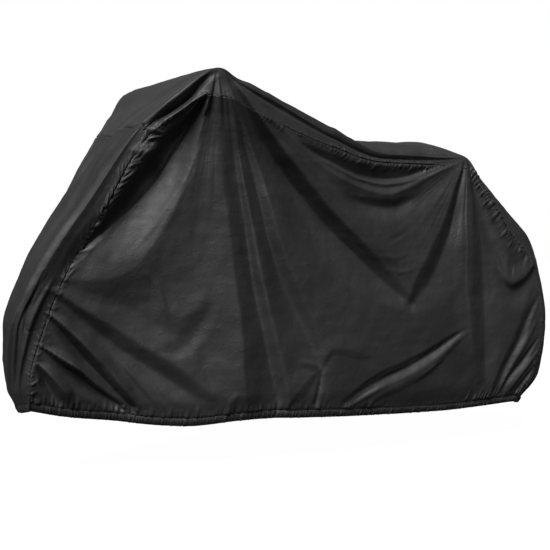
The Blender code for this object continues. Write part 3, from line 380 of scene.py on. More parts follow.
RIGHT_FOLDS = [
    Fold("bar_flap", ((-0.440, 1.140), (-0.450, 0.930), (-0.520, 0.740), (-0.690, 0.600)),
         (0.010, 0.080, 0.120, 0.060), (0.010, 0.030, 0.040, 0.030),
         (0.002, 0.026, 0.030, 0.0), 0.5),
    Fold("bar_pleat", ((-0.430, 1.140), (-0.360, 0.860), (-0.310, 0.520), (-0.280, 0.150)),
         (0.004, 0.040, 0.060, 0.060), (0.004, 0.045, 0.060, 0.060),
         (0.002, 0.018, 0.020, 0.012), 0.5),
    Fold("bar_pleat_2", ((-0.420, 1.140), (-0.290, 0.880), (-0.200, 0.560), (-0.140, 0.150)),
         (0.004, 0.030, 0.044, 0.044), (0.004, 0.050, 0.070, 0.060),
         (0.001, 0.012, 0.016, 0.010), 0.6),
    Fold("bar_valley", ((-0.400, 1.120), (-0.180, 0.900), (0.020, 0.700), (0.240, 0.520)),
         (0.006, 0.050, 0.070, 0.050), (0.006, 0.040, 0.050, 0.040),
         (-0.002, -0.024, -0.026, 0.0), 0.4),
    Fold("swag", ((-0.150, 1.000), (0.060, 0.890), (0.240, 0.850), (0.420, 0.885), (0.560, 0.950)),
         (0.012, 0.030, 0.036, 0.024, 0.006), (0.016, 0.040, 0.050, 0.040, 0.008),
         (0.0, 0.014, 0.020, 0.012, 0.002), 0.6),
    Fold("swag_2", ((-0.060, 0.860), (0.080, 0.780), (0.240, 0.740), (0.400, 0.790), (0.545, 0.940)),
         (0.020, 0.040, 0.044, 0.030, 0.004), (0.020, 0.050, 0.060, 0.040, 0.004),
         (0.0, 0.010, 0.014, 0.008, 0.001), 0.3),
    Fold("saddle_fold", ((0.562, 0.950), (0.480, 0.760), (0.430, 0.560), (0.400, 0.400)),
         (0.006, 0.030, 0.044, 0.040), (0.006, 0.036, 0.050, 0.040),
         (0.002, 0.018, 0.020, 0.0), 0.5),
    Fold("saddle_valley", ((0.572, 0.950), (0.610, 0.700), (0.640, 0.440), (0.640, 0.150)),
         (0.006, 0.034, 0.044, 0.040), (0.006, 0.034, 0.044, 0.040),
         (-0.002, -0.018, -0.020, -0.008), 0.4),
    Fold("wheel_fold", ((-0.780, 0.540), (-0.620, 0.450), (-0.460, 0.310), (-0.370, 0.150)),
         (0.010, 0.045, 0.060, 0.050), (0.010, 0.036, 0.050, 0.050),
         (0.0, 0.018, 0.020, 0.010), 0.5),
    Fold("wheel_valley", ((-0.800, 0.400), (-0.700, 0.310), (-0.620, 0.180)),
         (0.010, 0.030, 0.034), (0.010, 0.030, 0.034), (0.0, -0.018, -0.012), 0.4),
    Fold("wheel_fold_2", ((-0.830, 0.360), (-0.760, 0.270), (-0.700, 0.160)),
         (0.006, 0.018, 0.022), (0.006, 0.020, 0.024), (0.0, 0.011, 0.008), 0.6),
    Fold("rear_fold", ((0.860, 0.480), (0.760, 0.340), (0.690, 0.150)),
         (0.010, 0.034, 0.040), (0.010, 0.034, 0.040), (0.0, 0.016, 0.010), 0.4),
    Fold("rear_fold_2", ((0.870, 0.340), (0.800, 0.250), (0.740, 0.140)),
         (0.006, 0.018, 0.020), (0.006, 0.020, 0.022), (0.0, 0.010, 0.008), 0.5),
]

# Folds of the strip, by station and by share of the way across from the left seam.
STRIP_FOLDS = [
    Fold("left_front_ridge", (("wheel_nose", 0.24), ("wheel_shoulder", 0.20), ("front_mid", 0.20),
         ("cross_seam", 0.20)),
         (0.016, 0.030, 0.034, 0.020), (0.016, 0.030, 0.034, 0.020),
         (0.0, 0.003, 0.004, 0.002), 0.9),
    Fold("ridge_groove", (("wheel_nose", 0.26), ("wheel_shoulder", 0.25), ("front_mid", 0.255),
         ("cross_seam", 0.225)),
         (0.010, 0.018, 0.020, 0.008), (0.008, 0.014, 0.016, 0.006),
         (-0.002, -0.017, -0.018, -0.002), 0.8),
    Fold("ridge_groove_b", (("wheel_shoulder", 0.32), ("front_mid", 0.34), ("cross_seam", 0.31)),
         (0.010, 0.020, 0.012), (0.010, 0.016, 0.010), (-0.002, -0.011, -0.004), 0.8),
    Fold("bar_hollow", (("cross_seam", 0.10), ("bar_front", 0.11), ("bar_top", 0.12)),
         (0.012, 0.034, 0.014), (0.010, 0.030, 0.014), (-0.004, -0.026, -0.002), 0.3),
    Fold("bar_ridge", (("cross_seam", 0.20), ("bar_front", 0.20), ("bar_top", 0.20)),
         (0.016, 0.026, 0.010), (0.020, 0.040, 0.014), (0.003, 0.010, 0.0), 0.8),
    Fold("bar_line_a", (("cross_seam", 0.26), ("bar_front", 0.25), ("bar_top", 0.21)),
         (0.008, 0.010, 0.004), (0.008, 0.012, 0.004), (-0.003, -0.004, 0.0), 0.5),
    Fold("bar_line_b", (("front_mid", 0.36), ("cross_seam", 0.34), ("bar_front", 0.30),
         ("bar_top", 0.215)),
         (0.010, 0.014, 0.012, 0.004), (0.010, 0.016, 0.014, 0.004),
         (0.0, 0.008, 0.008, 0.0), 0.6),
    Fold("bar_line_c", (("front_mid", 0.48), ("cross_seam", 0.48), ("bar_front", 0.40),
         ("bar_top", 0.23)),
         (0.014, 0.020, 0.016, 0.004), (0.014, 0.020, 0.016, 0.004),
         (0.0, -0.010, -0.009, 0.0), 0.5),
    Fold("front_crease", (("wheel_shoulder", 0.42), ("front_mid", 0.50), ("cross_seam", 0.62),
         ("bar_top", 0.78)),
         (0.016, 0.026, 0.026, 0.006), (0.016, 0.026, 0.026, 0.006),
         (0.0, 0.008, 0.008, 0.0), 0.6),
    Fold("front_crease_b", (("wheel_shoulder", 0.36), ("front_mid", 0.38), ("cross_seam", 0.44)),
         (0.010, 0.016, 0.012), (0.010, 0.016, 0.012), (0.0, -0.012, -0.002), 0.5),
    Fold("far_crease", (("front_mid", 0.78), ("cross_seam", 0.76), ("bar_front", 0.79),
         ("bar_top", 0.80)),
         (0.020, 0.026, 0.020, 0.006), (0.014, 0.018, 0.014, 0.006),
         (0.004, 0.008, 0.008, 0.0), 0.7),
    Fold("wheel_slot_a", (("front_hem", 0.20), ("wheel_low", 0.22), ("wheel_nose", 0.20),
         ("wheel_shoulder", 0.14)),
         (0.006, 0.014, 0.012, 0.006), (0.006, 0.014, 0.014, 0.006),
         (-0.002, -0.012, -0.004, 0.0), 0.5),
    Fold("wheel_slot_b", (("front_hem", 0.42), ("wheel_low", 0.46), ("wheel_nose", 0.42),
         ("wheel_shoulder", 0.34)),
         (0.014, 0.034, 0.026, 0.010), (0.010, 0.022, 0.020, 0.010),
         (-0.008, -0.028, -0.016, 0.0), 0.5),
    Fold("wheel_rib_a", (("front_hem", 0.31), ("wheel_low", 0.33), ("wheel_nose", 0.29),
         ("wheel_shoulder", 0.22)),
         (0.010, 0.014, 0.014, 0.010), (0.010, 0.014, 0.014, 0.010),
         (0.003, 0.010, 0.009, 0.002), 0.7),
    Fold("wheel_rib_b", (("front_hem", 0.11), ("wheel_low", 0.12), ("wheel_nose", 0.11),
         ("wheel_shoulder", 0.08)),
         (0.008, 0.014, 0.014, 0.008), (0.008, 0.014, 0.014, 0.008),
         (0.002, 0.010, 0.009, 0.0), 0.5),
    Fold("shoulder_star", (("wheel_shoulder", 0.19), ("wheel_nose", 0.12), ("wheel_nose", 0.05)),
         (0.006, 0.010, 0.006), (0.006, 0.012, 0.006), (0.0, -0.004, -0.001), 0.6),
    Fold("wheel_rib_c", (("front_hem", 0.60), ("wheel_low", 0.60), ("wheel_nose", 0.56)),
         (0.012, 0.016, 0.012), (0.012, 0.016, 0.012), (0.002, 0.008, 0.0), 0.5),
    Fold("top_sag", (("bar_rear", 0.50), ("mid", 0.46), ("saddle_nose", 0.50)),
         (0.060, 0.090, 0.060), (0.060, 0.090, 0.060), (0.0, -0.022, 0.0), 0.0),
    Fold("top_line_a", (("bar_top", 0.205), ("bar_rear", 0.215), ("behind_bar", 0.22),
         ("mid", 0.23)),
         (0.004, 0.010, 0.014, 0.014), (0.004, 0.010, 0.014, 0.014),
         (0.0, 0.007, 0.008, 0.002), 0.6),
    Fold("top_line_b", (("bar_top", 0.18), ("bar_rear", 0.15), ("behind_bar", 0.12),
         ("mid", 0.12), ("saddle_nose", 0.10)),
         (0.004, 0.010, 0.014, 0.014, 0.010), (0.004, 0.010, 0.014, 0.014, 0.010),
         (0.0, -0.008, -0.010, -0.008, -0.001), 0.4),
    Fold("saddle_line", (("behind_bar", 0.24), ("mid", 0.22), ("saddle_nose", 0.17),
         ("saddle_rear", 0.18)),
         (0.012, 0.018, 0.018, 0.004), (0.014, 0.026, 0.026, 0.004),
         (0.0, 0.013, 0.014, 0.001), 0.7),
    Fold("saddle_line_b", (("mid", 0.30), ("saddle_nose", 0.26), ("saddle_top", 0.24),
         ("saddle_rear", 0.20)),
         (0.010, 0.014, 0.012, 0.003), (0.012, 0.016, 0.014, 0.003),
         (0.0, -0.012, -0.010, -0.001), 0.5),
    Fold("saddle_line_c", (("mid", 0.40), ("saddle_nose", 0.36), ("saddle_top", 0.34),
         ("saddle_rear", 0.24)),
         (0.014, 0.020, 0.016, 0.004), (0.014, 0.020, 0.016, 0.004),
         (0.0, 0.009, 0.008, 0.001), 0.4),
]
STRIP_WIDTH = 0.40  # a usual width of the strip, which turns shares of the way across into metres
STRIP_EDGE = 0.05  # the strip's own folds fade out over about this share of it at each seam
STRIP_PUCKERS = 0.6  # length of the seam puckers on the strip, as a share of the side panel's

# Puckers where the stitches gather a seam. Each row covers a stretch of seam between two stations,
# with the spacing, length and height of its puckers, and lean, their slant along the seam.
Puckers = namedtuple("Puckers", "start end spacing length height lean")
SEAM_PUCKERS = [
    Puckers("front_hem", "wheel_low", 0.010, 0.026, 0.0050, 0.3),
    Puckers("wheel_low", "wheel_nose", 0.011, 0.030, 0.0056, 0.4),
    Puckers("wheel_nose", "wheel_shoulder", 0.012, 0.030, 0.0052, 0.5),
    Puckers("wheel_shoulder", "front_mid", 0.017, 0.036, 0.0070, 1.4),
    Puckers("front_mid", "cross_seam", 0.022, 0.040, 0.0100, 1.8),
    Puckers("cross_seam", "bar_front", 0.017, 0.026, 0.0060, 0.8),
    Puckers("bar_front", "bar_top", 0.012, 0.024, 0.0026, 0.2),
    Puckers("bar_top", "behind_bar", 0.018, 0.012, 0.0008, 0.0),
    Puckers("behind_bar", "mid", 0.014, 0.022, 0.0026, -0.3),
    Puckers("mid", "saddle_top", 0.012, 0.036, 0.0056, -0.5),
    Puckers("saddle_top", "saddle_rear", 0.014, 0.018, 0.0014, -0.6),
    Puckers("saddle_rear", "rear_slope", 0.013, 0.040, 0.0066, 0.4),
    Puckers("rear_slope", "rear_shoulder", 0.014, 0.046, 0.0074, 0.2),
    Puckers("rear_shoulder", "rear_nose", 0.012, 0.022, 0.0036, 0.0),
    Puckers("rear_nose", "rear_hem", 0.013, 0.024, 0.0040, 0.0),
]
PUCKER_STRENGTH, PUCKER_LENGTH = (0.25, 1.0), (0.5, 1.15)  # least and greatest, by chance
PUCKER_WOBBLE = 0.35  # how far a pucker strays along its edge, as a share of the spacing
PUCKER_RISE = 0.22  # share of its length over which a pucker rises from the edge
CROSS_PUCKERS = Puckers(CROSS_SEAM, CROSS_SEAM, 0.016, 0.030, 0.0022, 0.0)
CROSS_RISE = 0.006  # the cross seam's puckers are highest this far from it

# Puckers above the hem, by share of the way along it.
HEM_PUCKERS = [
    Puckers(0.00, 0.18, 0.015, 0.044, 0.0064, 0.1),
    Puckers(0.18, 0.40, 0.013, 0.040, 0.0056, 0.0),
    Puckers(0.40, 0.66, 0.015, 0.044, 0.0060, -0.1),
    Puckers(0.66, 0.86, 0.020, 0.024, 0.0014, -0.1),
    Puckers(0.86, 1.00, 0.014, 0.050, 0.0064, -0.3),
]

FAN = 0.6  # how much closer the grid lines lie at the handlebar and the saddle, where folds meet
FINEST = 0.004  # a narrower fold is widened to this and lowered, as the grid can't hold it
FOLD_SAMPLES = 60  # places along a fold's path at which it is read
SEAM_SAMPLES = 6000  # places along a seam, before they are spaced evenly
SEAM_STEP = 0.001  # spacing of the even points along a seam
SEAM_REACH = 0.09  # no pucker reaches further than this from its seam
SEAM_CALM = 0.05  # ripples and crumples grow to their full height this far from a seam
LENGTH_SAMPLES = 400  # places along an edge at which its length is measured
CALM_OVER_HEM = (0.35, 0.10)  # share of ripples and crumples at the hem, and where they are whole
FOLDS_OVER_HEM = (0.55, 0.09)  # the same for the folds
HEM_OPEN = 0.06  # the cloth swells back to its full width this far above the hem

Grid = namedtuple("Grid", "columns rows")
LEFT_GRID, RIGHT_GRID = Grid(438, 222), Grid(300, 160)
FRONT_GRID, TOP_GRID = Grid(250, 100), Grid(560, 100)
CLOSE_ACROSS, CLOSE_UP = 0.5, 0.7  # how much closer the grid lines lie at the panels' edges
HEM_STEP = 0.0021  # spacing of the columns of a side hem
STRIP_HEM_COLUMNS = 150  # columns of the front and the rear hem
HEM_UPWARD = 0.03  # share of the panel's height that shows which way is up at the hem

# Tension ripples spread from the two points that carry the cloth.
Rays = namedtuple("Rays", "x z turns inner outer height seed")
RAYS = [
    Rays(-0.332, 1.185, 15.0, 0.03, 0.85, 0.0022, 3.0),
    Rays(-0.332, 1.185, 38.0, 0.02, 0.45, 0.0012, 9.0),
    Rays(0.566, 0.972, 13.0, 0.03, 0.50, 0.0010, 17.0),
    Rays(0.566, 0.972, 34.0, 0.02, 0.36, 0.0011, 23.0),
]
# Shallow waves all over the cloth: how long they are along x, y and z, and how high.
Crumple = namedtuple("Crumple", "x y z height")
CRUMPLES = [
    Crumple(0.110, 0.110, 0.150, 0.0030),
    Crumple(0.050, 0.050, 0.055, 0.0018),
    Crumple(0.024, 0.024, 0.026, 0.00055),
    Crumple(0.090, 0.090, 0.018, 0.00045),
]


def curve_through(steps, points, at):
    """Smooth curve through points at the given steps, without overshoot, read at the values at."""
    steps = np.asarray(steps, float)
    points = np.asarray(points, float)
    spans = np.diff(steps).reshape(-1, *[1] * (points.ndim - 1))
    rise = np.diff(points, axis=0) / spans
    slope = np.zeros_like(points)
    slope[0], slope[-1] = rise[0], rise[-1]
    before, after = rise[:-1], rise[1:]
    same_way = before * after > 0
    mean = 2 * before * after / np.where(same_way, before + after, 1)
    slope[1:-1] = np.where(same_way, mean, 0)
    at = np.clip(np.asarray(at, float), steps[0], steps[-1])
    index = np.clip(np.searchsorted(steps, at, side="right") - 1, 0, len(steps) - 2)
    span = spans[index]
    share = (at - steps[index]).reshape(-1, *[1] * (points.ndim - 1)) / span
    return (
        (2 * share**3 - 3 * share**2 + 1) * points[index]
        + (share**3 - 2 * share**2 + share) * span * slope[index]
        + (3 * share**2 - 2 * share**3) * points[index + 1]
        + (share**3 - share**2) * span * slope[index + 1]
    )


def lengths_along(points):
    """Distance from the first point to each point of a line."""
    return np.concatenate([[0], np.cumsum(np.linalg.norm(np.diff(points, axis=0), axis=1))])


def eased(share):
    """0 below 0, 1 above 1 and a smooth step between."""
    share = np.clip(share, 0, 1)
    return share * share * (3 - 2 * share)


def grown(distance, least, reach):
    """A share that grows smoothly from least at distance 0 to 1 at the distance reach."""
    return least + (1 - least) * eased(distance / reach)


NETWORK = np.array([station[1:] for station in STATIONS])
CROWN_LENGTH = lengths_along(NETWORK[:, 2])[-1]
STATION_AT = lengths_along(NETWORK[:, 2]) / CROWN_LENGTH


def station(name):
    """Place of a named station along the strip, from 0 at the front hem to 1 at the rear hem."""
    return STATION_AT[[row[0] for row in STATIONS].index(name)]


def strip_points(along, across):
    """Points of the unfolded strip, as an array of across by along by xyz."""
    lines = curve_through(STATION_AT, NETWORK, along)
    return curve_through(ACROSS, lines.transpose(1, 0, 2), across)


def seam_points(along, side):
    """Points of the seam on one side, at places along the strip."""
    return strip_points(along, [0.0 if side == LEFT else 1.0])[0]


def hem_points(share, side):
    """Points of the side panel's hem, at shares of the way along it."""
    table = np.array(HEM)
    line = table[:, :3] if side == LEFT else table[:, 3:]
    return curve_through(lengths_along(line) / lengths_along(line)[-1], line, share)


def stretch(start, end, shares, fan=0.0):
    """Places along the strip between two stations, closer to its ends where fan is over 0."""
    places = np.linspace(start, end, LENGTH_SAMPLES)
    reached = lengths_along(seam_points(places, LEFT))
    shares = shares - fan * np.sin(2 * pi * shares) / (2 * pi)
    return np.interp(shares, reached / reached[-1], places)


def side_points(side, across, up):
    """Unfolded side panel, blended between its seams and its hem, as up by across by xyz."""
    front, rear = station(FRONT_CORNER), station(REAR_CORNER)
    up_front = seam_points(stretch(0.0, front, up), side)
    up_rear = seam_points(stretch(rear, 1.0, 1 - up), side)
    over_top = seam_points(stretch(front, rear, across, FAN), side)
    top_ends = seam_points(np.array([front, rear]), side)
    hem, hem_ends = hem_points(across, side), hem_points([0, 1], side)
    across, up = across[None, :, None], up[:, None, None]
    corners = (
        (1 - across) * (1 - up) * hem_ends[0]
        + across * (1 - up) * hem_ends[1]
        + (1 - across) * up * top_ends[0]
        + across * up * top_ends[1]
    )
    between_ends = (1 - across) * up_front[:, None] + across * up_rear[:, None]
    between_edges = (1 - up) * hem[None] + up * over_top[None]
    base = between_ends + between_edges - corners
    swell = 4 * across * (1 - across) * np.sin(pi * np.clip(up, 0, 1)) ** 0.5
    base[..., 1] += side * BELLY * swell[..., 0]
    above_hem = base[..., 2] - hem[None, :, 2]
    base[..., 1] -= side * HEM_DRAW * (1 - eased((above_hem - HEM_BAND) / HEM_OPEN))
    return base


def fold_heights(x, z, folds):
    """Summed heights of the folds at points with the given x and z."""
    spots = np.stack([x.ravel(), z.ravel()], axis=1)
    total = np.zeros(len(spots))
    for fold in folds:
        path = np.array(fold.path)
        steps = lengths_along(path) / lengths_along(path)[-1]
        shares = np.linspace(0, 1, FOLD_SAMPLES)
        line = curve_through(steps, path, shares)
        reach = max(*fold.left, *fold.right, FINEST)
        near = np.all((spots > line.min(0) - reach) & (spots < line.max(0) + reach), axis=1)
        near = np.flatnonzero(near)
        if not len(near):
            continue
        heading = np.gradient(line, axis=0)
        heading /= np.linalg.norm(heading, axis=1)[:, None]
        apart = spots[near, None] - line[None]
        nearest = np.argmin((apart**2).sum(axis=2), axis=1)
        offset, ahead = apart[np.arange(len(near)), nearest], heading[nearest]
        to_left = ahead[:, 0] * offset[:, 1] - ahead[:, 1] * offset[:, 0]
        onward = (ahead * offset).sum(axis=1)
        share = shares[nearest] + onward / lengths_along(line)[-1]
        beyond = np.where((share < 0) | (share > 1), onward, 0)
        distance = np.hypot(to_left, beyond)
        width_left, width_right, height = (
            curve_through(np.linspace(0, 1, len(values)), values, share)
            for values in (fold.left, fold.right, fold.height)
        )
        width = np.where(to_left > 0, width_left, width_right)
        height = height * np.clip((width_left + width_right) / (2 * FINEST), 0, 1)
        away = np.clip(distance / np.maximum(width, FINEST), 0, 1)
        soft = (1 - away**2) ** 2
        creased = (1 - away) ** 1.1
        total[near] += height * ((1 - fold.crisp) * soft + fold.crisp * creased)
    return total.reshape(x.shape)


def ripple_heights(x, z):
    """Ripples that fan out below the handlebar and the saddle."""
    total = np.zeros(x.size)
    for ray in RAYS:
        dx, dz = x.ravel() - ray.x, z.ravel() - ray.z
        radius, angle = np.hypot(dx, dz), np.arctan2(dz, dx)
        strength = eased((radius - ray.inner) / (0.5 * ray.outer)) * eased(
            (ray.outer - radius) / (0.6 * ray.outer)
        )
        for i in np.flatnonzero(strength > 0.01):
            spot = (angle[i] * ray.turns, radius[i] * 3.5, ray.seed)
            total[i] += ray.height * strength[i] * noise.noise(spot)
    return total.reshape(x.shape)


def crumple_heights(points):
    """Shallow waves all over the cloth."""
    total = np.zeros(points.shape[0] * points.shape[1])
    flat = points.reshape(-1, 3)
    for seed, crumple in enumerate(CRUMPLES):
        scaled = flat / (crumple.x, crumple.y, crumple.z) + 7.3 * seed
        total += crumple.height * np.array([noise.noise(spot) for spot in scaled.tolist()])
    return total.reshape(points.shape[:2])


def line_tree(line):
    """Search tree of the points of a line."""
    tree = kdtree.KDTree(len(line))
    for index, point in enumerate(line):
        tree.insert(point, index)
    tree.balance()
    return tree


def seam_line(side):
    """A seam as evenly spaced points, with the length along it at each and at each station."""
    fine = np.linspace(0, 1, SEAM_SAMPLES)
    line = seam_points(fine, side)
    reached = lengths_along(line)
    even = np.arange(0, reached[-1], SEAM_STEP)
    line = np.stack([np.interp(even, reached, line[:, axis]) for axis in range(3)], axis=1)
    return line, even, np.interp(STATION_AT, fine, reached)


def seam_coordinates(points, side):
    """Length along the seam and distance from it, for each point nearer than SEAM_REACH."""
    line, even, _ = seam_line(side)
    tree = line_tree(line)
    flat = points.reshape(-1, 3)
    along, away = np.zeros(len(flat)), np.full(len(flat), SEAM_REACH)
    for i, point in enumerate(flat.tolist()):
        _, index, distance = tree.find(point)
        if distance < SEAM_REACH:
            along[i], away[i] = even[index], distance
    # Each point's own place between the samples keeps the puckers smooth.
    ahead = np.gradient(line, axis=0) / SEAM_STEP
    index = np.clip((along / SEAM_STEP).astype(int), 0, len(line) - 1)
    along += ((flat - line[index]) * ahead[index]).sum(axis=1) * (away < SEAM_REACH)
    return along.reshape(points.shape[:2]), away.reshape(points.shape[:2])


def pucker_heights(along, away, rows, seed):
    """Heights of the puckers at the given lengths along an edge and distances from it."""
    chance = np.random.default_rng(seed)
    total = np.zeros_like(along)
    for row in rows:
        count = int((row.end - row.start) / row.spacing) + 3
        strength = chance.uniform(*PUCKER_STRENGTH, count)
        reach = row.length * chance.uniform(*PUCKER_LENGTH, count)
        slow = along / row.spacing * 1.1 + 2.0 * np.sin(along * 31)
        wobble = PUCKER_WOBBLE * row.spacing * np.sin(slow)
        phase = (along + wobble - row.lean * away - row.start) / row.spacing
        index = np.clip(np.floor(phase).astype(int), 0, count - 1)
        wave = np.sin(pi * (phase - np.floor(phase))) ** 1.6
        depth = away / reach[index]
        fade = eased(depth / PUCKER_RISE) * eased((1 - depth) / (1 - PUCKER_RISE))
        within = eased((phase + 0.5) / 1.0) * eased(
            ((row.end - row.start) / row.spacing - phase + 0.5) / 1.0
        )
        total += row.height * strength[index] * wave * fade * within
    return total


def seam_puckers(points, side, scale, seed):
    """Puckers beside a seam, and the tuck that the stitches make at it."""
    along, away = seam_coordinates(points, side)
    _, _, at = seam_line(side)
    names = [row[0] for row in STATIONS]
    rows = [
        row._replace(
            start=at[names.index(row.start)],
            end=at[names.index(row.end)],
            length=row.length * scale,
            height=row.height * (0.6 + 0.4 * scale),
        )
        for row in SEAM_PUCKERS
    ]
    heights = pucker_heights(along, away, rows, seed)
    tuck = SEAM_TUCK * (1 - eased(away / SEAM_TUCK_REACH)) ** 2
    return heights - tuck, along, away


def hem_rows(length):
    """Rows of hem puckers, in metres along a hem of the given length."""
    return [
        row._replace(start=row.start * length, end=row.end * length) for row in HEM_PUCKERS
    ]


def grid_normals(points):
    """Unit normals of a grid of rows by columns by xyz."""
    normals = np.cross(np.gradient(points, axis=1), np.gradient(points, axis=0))
    return normals / np.linalg.norm(normals, axis=-1, keepdims=True)


def close_at_ends(count, first, last):
    """Shares from 0 to 1, packed closer at the ends by the given amounts."""
    share = np.linspace(0, 1, count)
    return share - first * share * (1 - share) ** 3 + last * share**3 * (1 - share)


def side_panel(side, folds, size, seed):
    """Side panel with its folds and puckers, as rows from hem to seam."""
    across = close_at_ends(size.columns, CLOSE_ACROSS, CLOSE_ACROSS)
    up = close_at_ends(size.rows, CLOSE_UP, CLOSE_UP)
    points = side_points(side, across, up)
    x, z = points[..., 0], points[..., 2]
    above = z - hem_points(across, side)[None, :, 2]
    calm = grown(above, *CALM_OVER_HEM)
    heights = fold_heights(x, z, folds) * grown(above, *FOLDS_OVER_HEM)
    _, away = seam_coordinates(points, side)
    near_seam = eased(away / SEAM_CALM)
    heights += ripple_heights(x, z) * near_seam * calm
    points[..., 1] += side * heights
    normals = grid_normals(points) * (1 if side == LEFT else -1)
    puckers, along, away = seam_puckers(points, side, 1.0, seed)
    hem_length = lengths_along(hem_points(across, side))
    gathers = pucker_heights(
        np.broadcast_to(hem_length[None], x.shape), np.clip(above - HEM_BAND, 0, None),
        hem_rows(hem_length[-1]), seed + 1,
    )
    fine = crumple_heights(points) * near_seam * calm
    inside_band = -BAND_INSET * (1 - eased((above - 0.8 * HEM_BAND) / (0.4 * HEM_BAND)))
    points += (puckers + gathers + fine + inside_band)[..., None] * normals
    return points, (x, z), (along, away)


def strip_panel(start, end, size, seed):
    """Strip between two stations. The folds of each side run on over the seam, up to the ridge."""
    along = np.linspace(station(start), station(end), size.columns)
    across = close_at_ends(size.rows, CLOSE_ACROSS, CLOSE_ACROSS)
    points = strip_points(along, across)
    share = across[:, None]
    folds = [
        fold._replace(
            path=[(station(at) * CROWN_LENGTH, part * STRIP_WIDTH) for at, part in fold.path]
        )
        for fold in STRIP_FOLDS
    ]
    flat = np.meshgrid(along * CROWN_LENGTH, across * STRIP_WIDTH)
    heights = fold_heights(*flat, folds) * np.clip(share * (1 - share) / STRIP_EDGE, 0, 1)
    points += heights[..., None] * grid_normals(points)
    for side, side_folds, inward in (
        (LEFT, LEFT_FOLDS, share), (RIGHT, RIGHT_FOLDS, 1 - share)
    ):
        fade = 1 - eased(inward / RIDGE)
        over = fold_heights(points[..., 0], points[..., 2], side_folds)
        points[..., 1] += side * fade * over
    normals = grid_normals(points)
    nearest = None
    total = np.zeros(points.shape[:2])
    for side in (LEFT, RIGHT):
        puckers, seam_at, away = seam_puckers(points, side, STRIP_PUCKERS, seed + side)
        total += puckers
        if nearest is None:
            nearest = seam_at, away
        else:
            closer = away < nearest[1]
            nearest = (
                np.where(closer, seam_at, nearest[0]), np.where(closer, away, nearest[1])
            )
    total += crumple_heights(points) * eased(nearest[1] / SEAM_CALM)
    for place, bound in ((start, along[0]), (end, along[-1])):
        if place == CROSS_SEAM:
            gone = np.abs(along - bound)[None] * CROWN_LENGTH
            total -= SEAM_TUCK * (1 - eased(gone / SEAM_TUCK_REACH)) ** 2
            phase = share * STRIP_WIDTH / CROSS_PUCKERS.spacing + 1.5 * np.sin(9 * share)
            wave = CROSS_PUCKERS.height * np.sin(pi * (phase % 1))
            rising = eased(gone / CROSS_RISE)
            falling = eased((CROSS_PUCKERS.length - gone) / (CROSS_PUCKERS.length - CROSS_RISE))
            total += wave * rising * falling
    points += total[..., None] * normals
    return points, flat, nearest


# The hem's section, from the stitch line round the bottom edge and up inside: out and up.
HEM_SECTION = (
    (-0.0010, 0.0262), (0.0002, 0.0248), (0.0020, 0.0218), (0.0030, 0.0168), (0.0028, 0.0110),
    (0.0016, 0.0054), (-0.0004, 0.0010), (-0.0026, 0.0000), (-0.0040, 0.0050), (-0.0042, 0.0140),
    (-0.0032, 0.0220), (-0.0022, 0.0250),
)
HEM_GATHER = 0.0085  # usual width of one of its gathers
HEM_GATHER_COUNTED = 0.0075  # a smaller width, so that more than enough strengths are drawn
HEM_STRENGTH = (0.15, 1.0)  # least and greatest strength of a gather, by chance
HEM_PUFF, HEM_PUFF_BASE = 0.0042, 0.35  # height of the gathers, and the share of it taken inwards
HEM_PUFF_REACH = 0.010  # they grow over this height below the stitch line
HEM_BOTTOM = 0.006  # height of the rounded bottom edge
HEM_DROOP, HEM_SINK = 0.0016, 0.0008  # how far the hem wanders, and how far a gather lowers it


def hem_band(line, upward, outward, seed):
    """Elastic hem along a line of points: a flattened tube, gathered into uneven ripples."""
    chance = np.random.default_rng(seed)
    along = lengths_along(line)
    count = int(along[-1] / HEM_GATHER_COUNTED) + 3
    strength = chance.uniform(*HEM_STRENGTH, count)
    phase = along / HEM_GATHER + 0.6 * np.sin(along * 47) + 0.4 * np.sin(along * 113 + 1)
    index = np.clip(np.floor(phase).astype(int), 0, count - 1)
    wave = np.sin(pi * (phase - np.floor(phase))) ** 1.3 * strength[index]
    droop = np.array([noise.noise((at * 16, seed, 0.0)) for at in along])
    rings = []
    for out, up in HEM_SECTION:
        puff = eased((HEM_SECTION[0][1] - up) / HEM_PUFF_REACH)
        bottom = eased((HEM_BOTTOM - up) / HEM_BOTTOM)
        rise = up + bottom * (HEM_DROOP * droop - HEM_SINK * wave)
        shove = out + HEM_PUFF * puff * (wave - HEM_PUFF_BASE) + HEM_DROOP * droop * puff
        rings.append(line + shove[:, None] * outward + rise[:, None] * upward)
    return np.array(rings), (np.broadcast_to(along, (len(rings), len(along))), np.array(
        [[up] * len(along) for _, up in HEM_SECTION]
    ))


def side_hem(side, folds, seed):
    """Elastic hem of a side panel, which follows the feet of its folds."""
    length = lengths_along(hem_points(np.linspace(0, 1, LENGTH_SAMPLES), side))[-1]
    across = np.linspace(0, 1, int(length / HEM_STEP))
    low, high = side_points(side, across, np.array([0.0, HEM_UPWARD]))
    low[:, 1] += side * FOLDS_OVER_HEM[0] * fold_heights(low[:, 0], low[:, 2], folds)
    high[:, 1] += side * FOLDS_OVER_HEM[0] * fold_heights(high[:, 0], high[:, 2], folds)
    return band_between(low, high, -side, seed)


def strip_hem(at, next_at, turn, seed):
    """Elastic hem across the strip at one place, with its cloth towards next_at."""
    across = np.linspace(0, 1, STRIP_HEM_COLUMNS)
    low, high = (strip_points([place], across)[:, 0] for place in (at, next_at))
    return band_between(low, high, turn, seed)


def band_between(low, high, turn, seed):
    """Elastic hem along the line low, with its cloth towards the line high."""
    upward = high - low
    upward /= np.linalg.norm(upward, axis=1)[:, None]
    outward = np.cross(np.gradient(low, axis=0), upward) * turn
    outward /= np.linalg.norm(outward, axis=1)[:, None]
    return hem_band(low, upward, outward, seed)


def placed(points):
    """Points moved from the ground frame to the part's own frame."""
    return points - np.array(HANG_POINT)


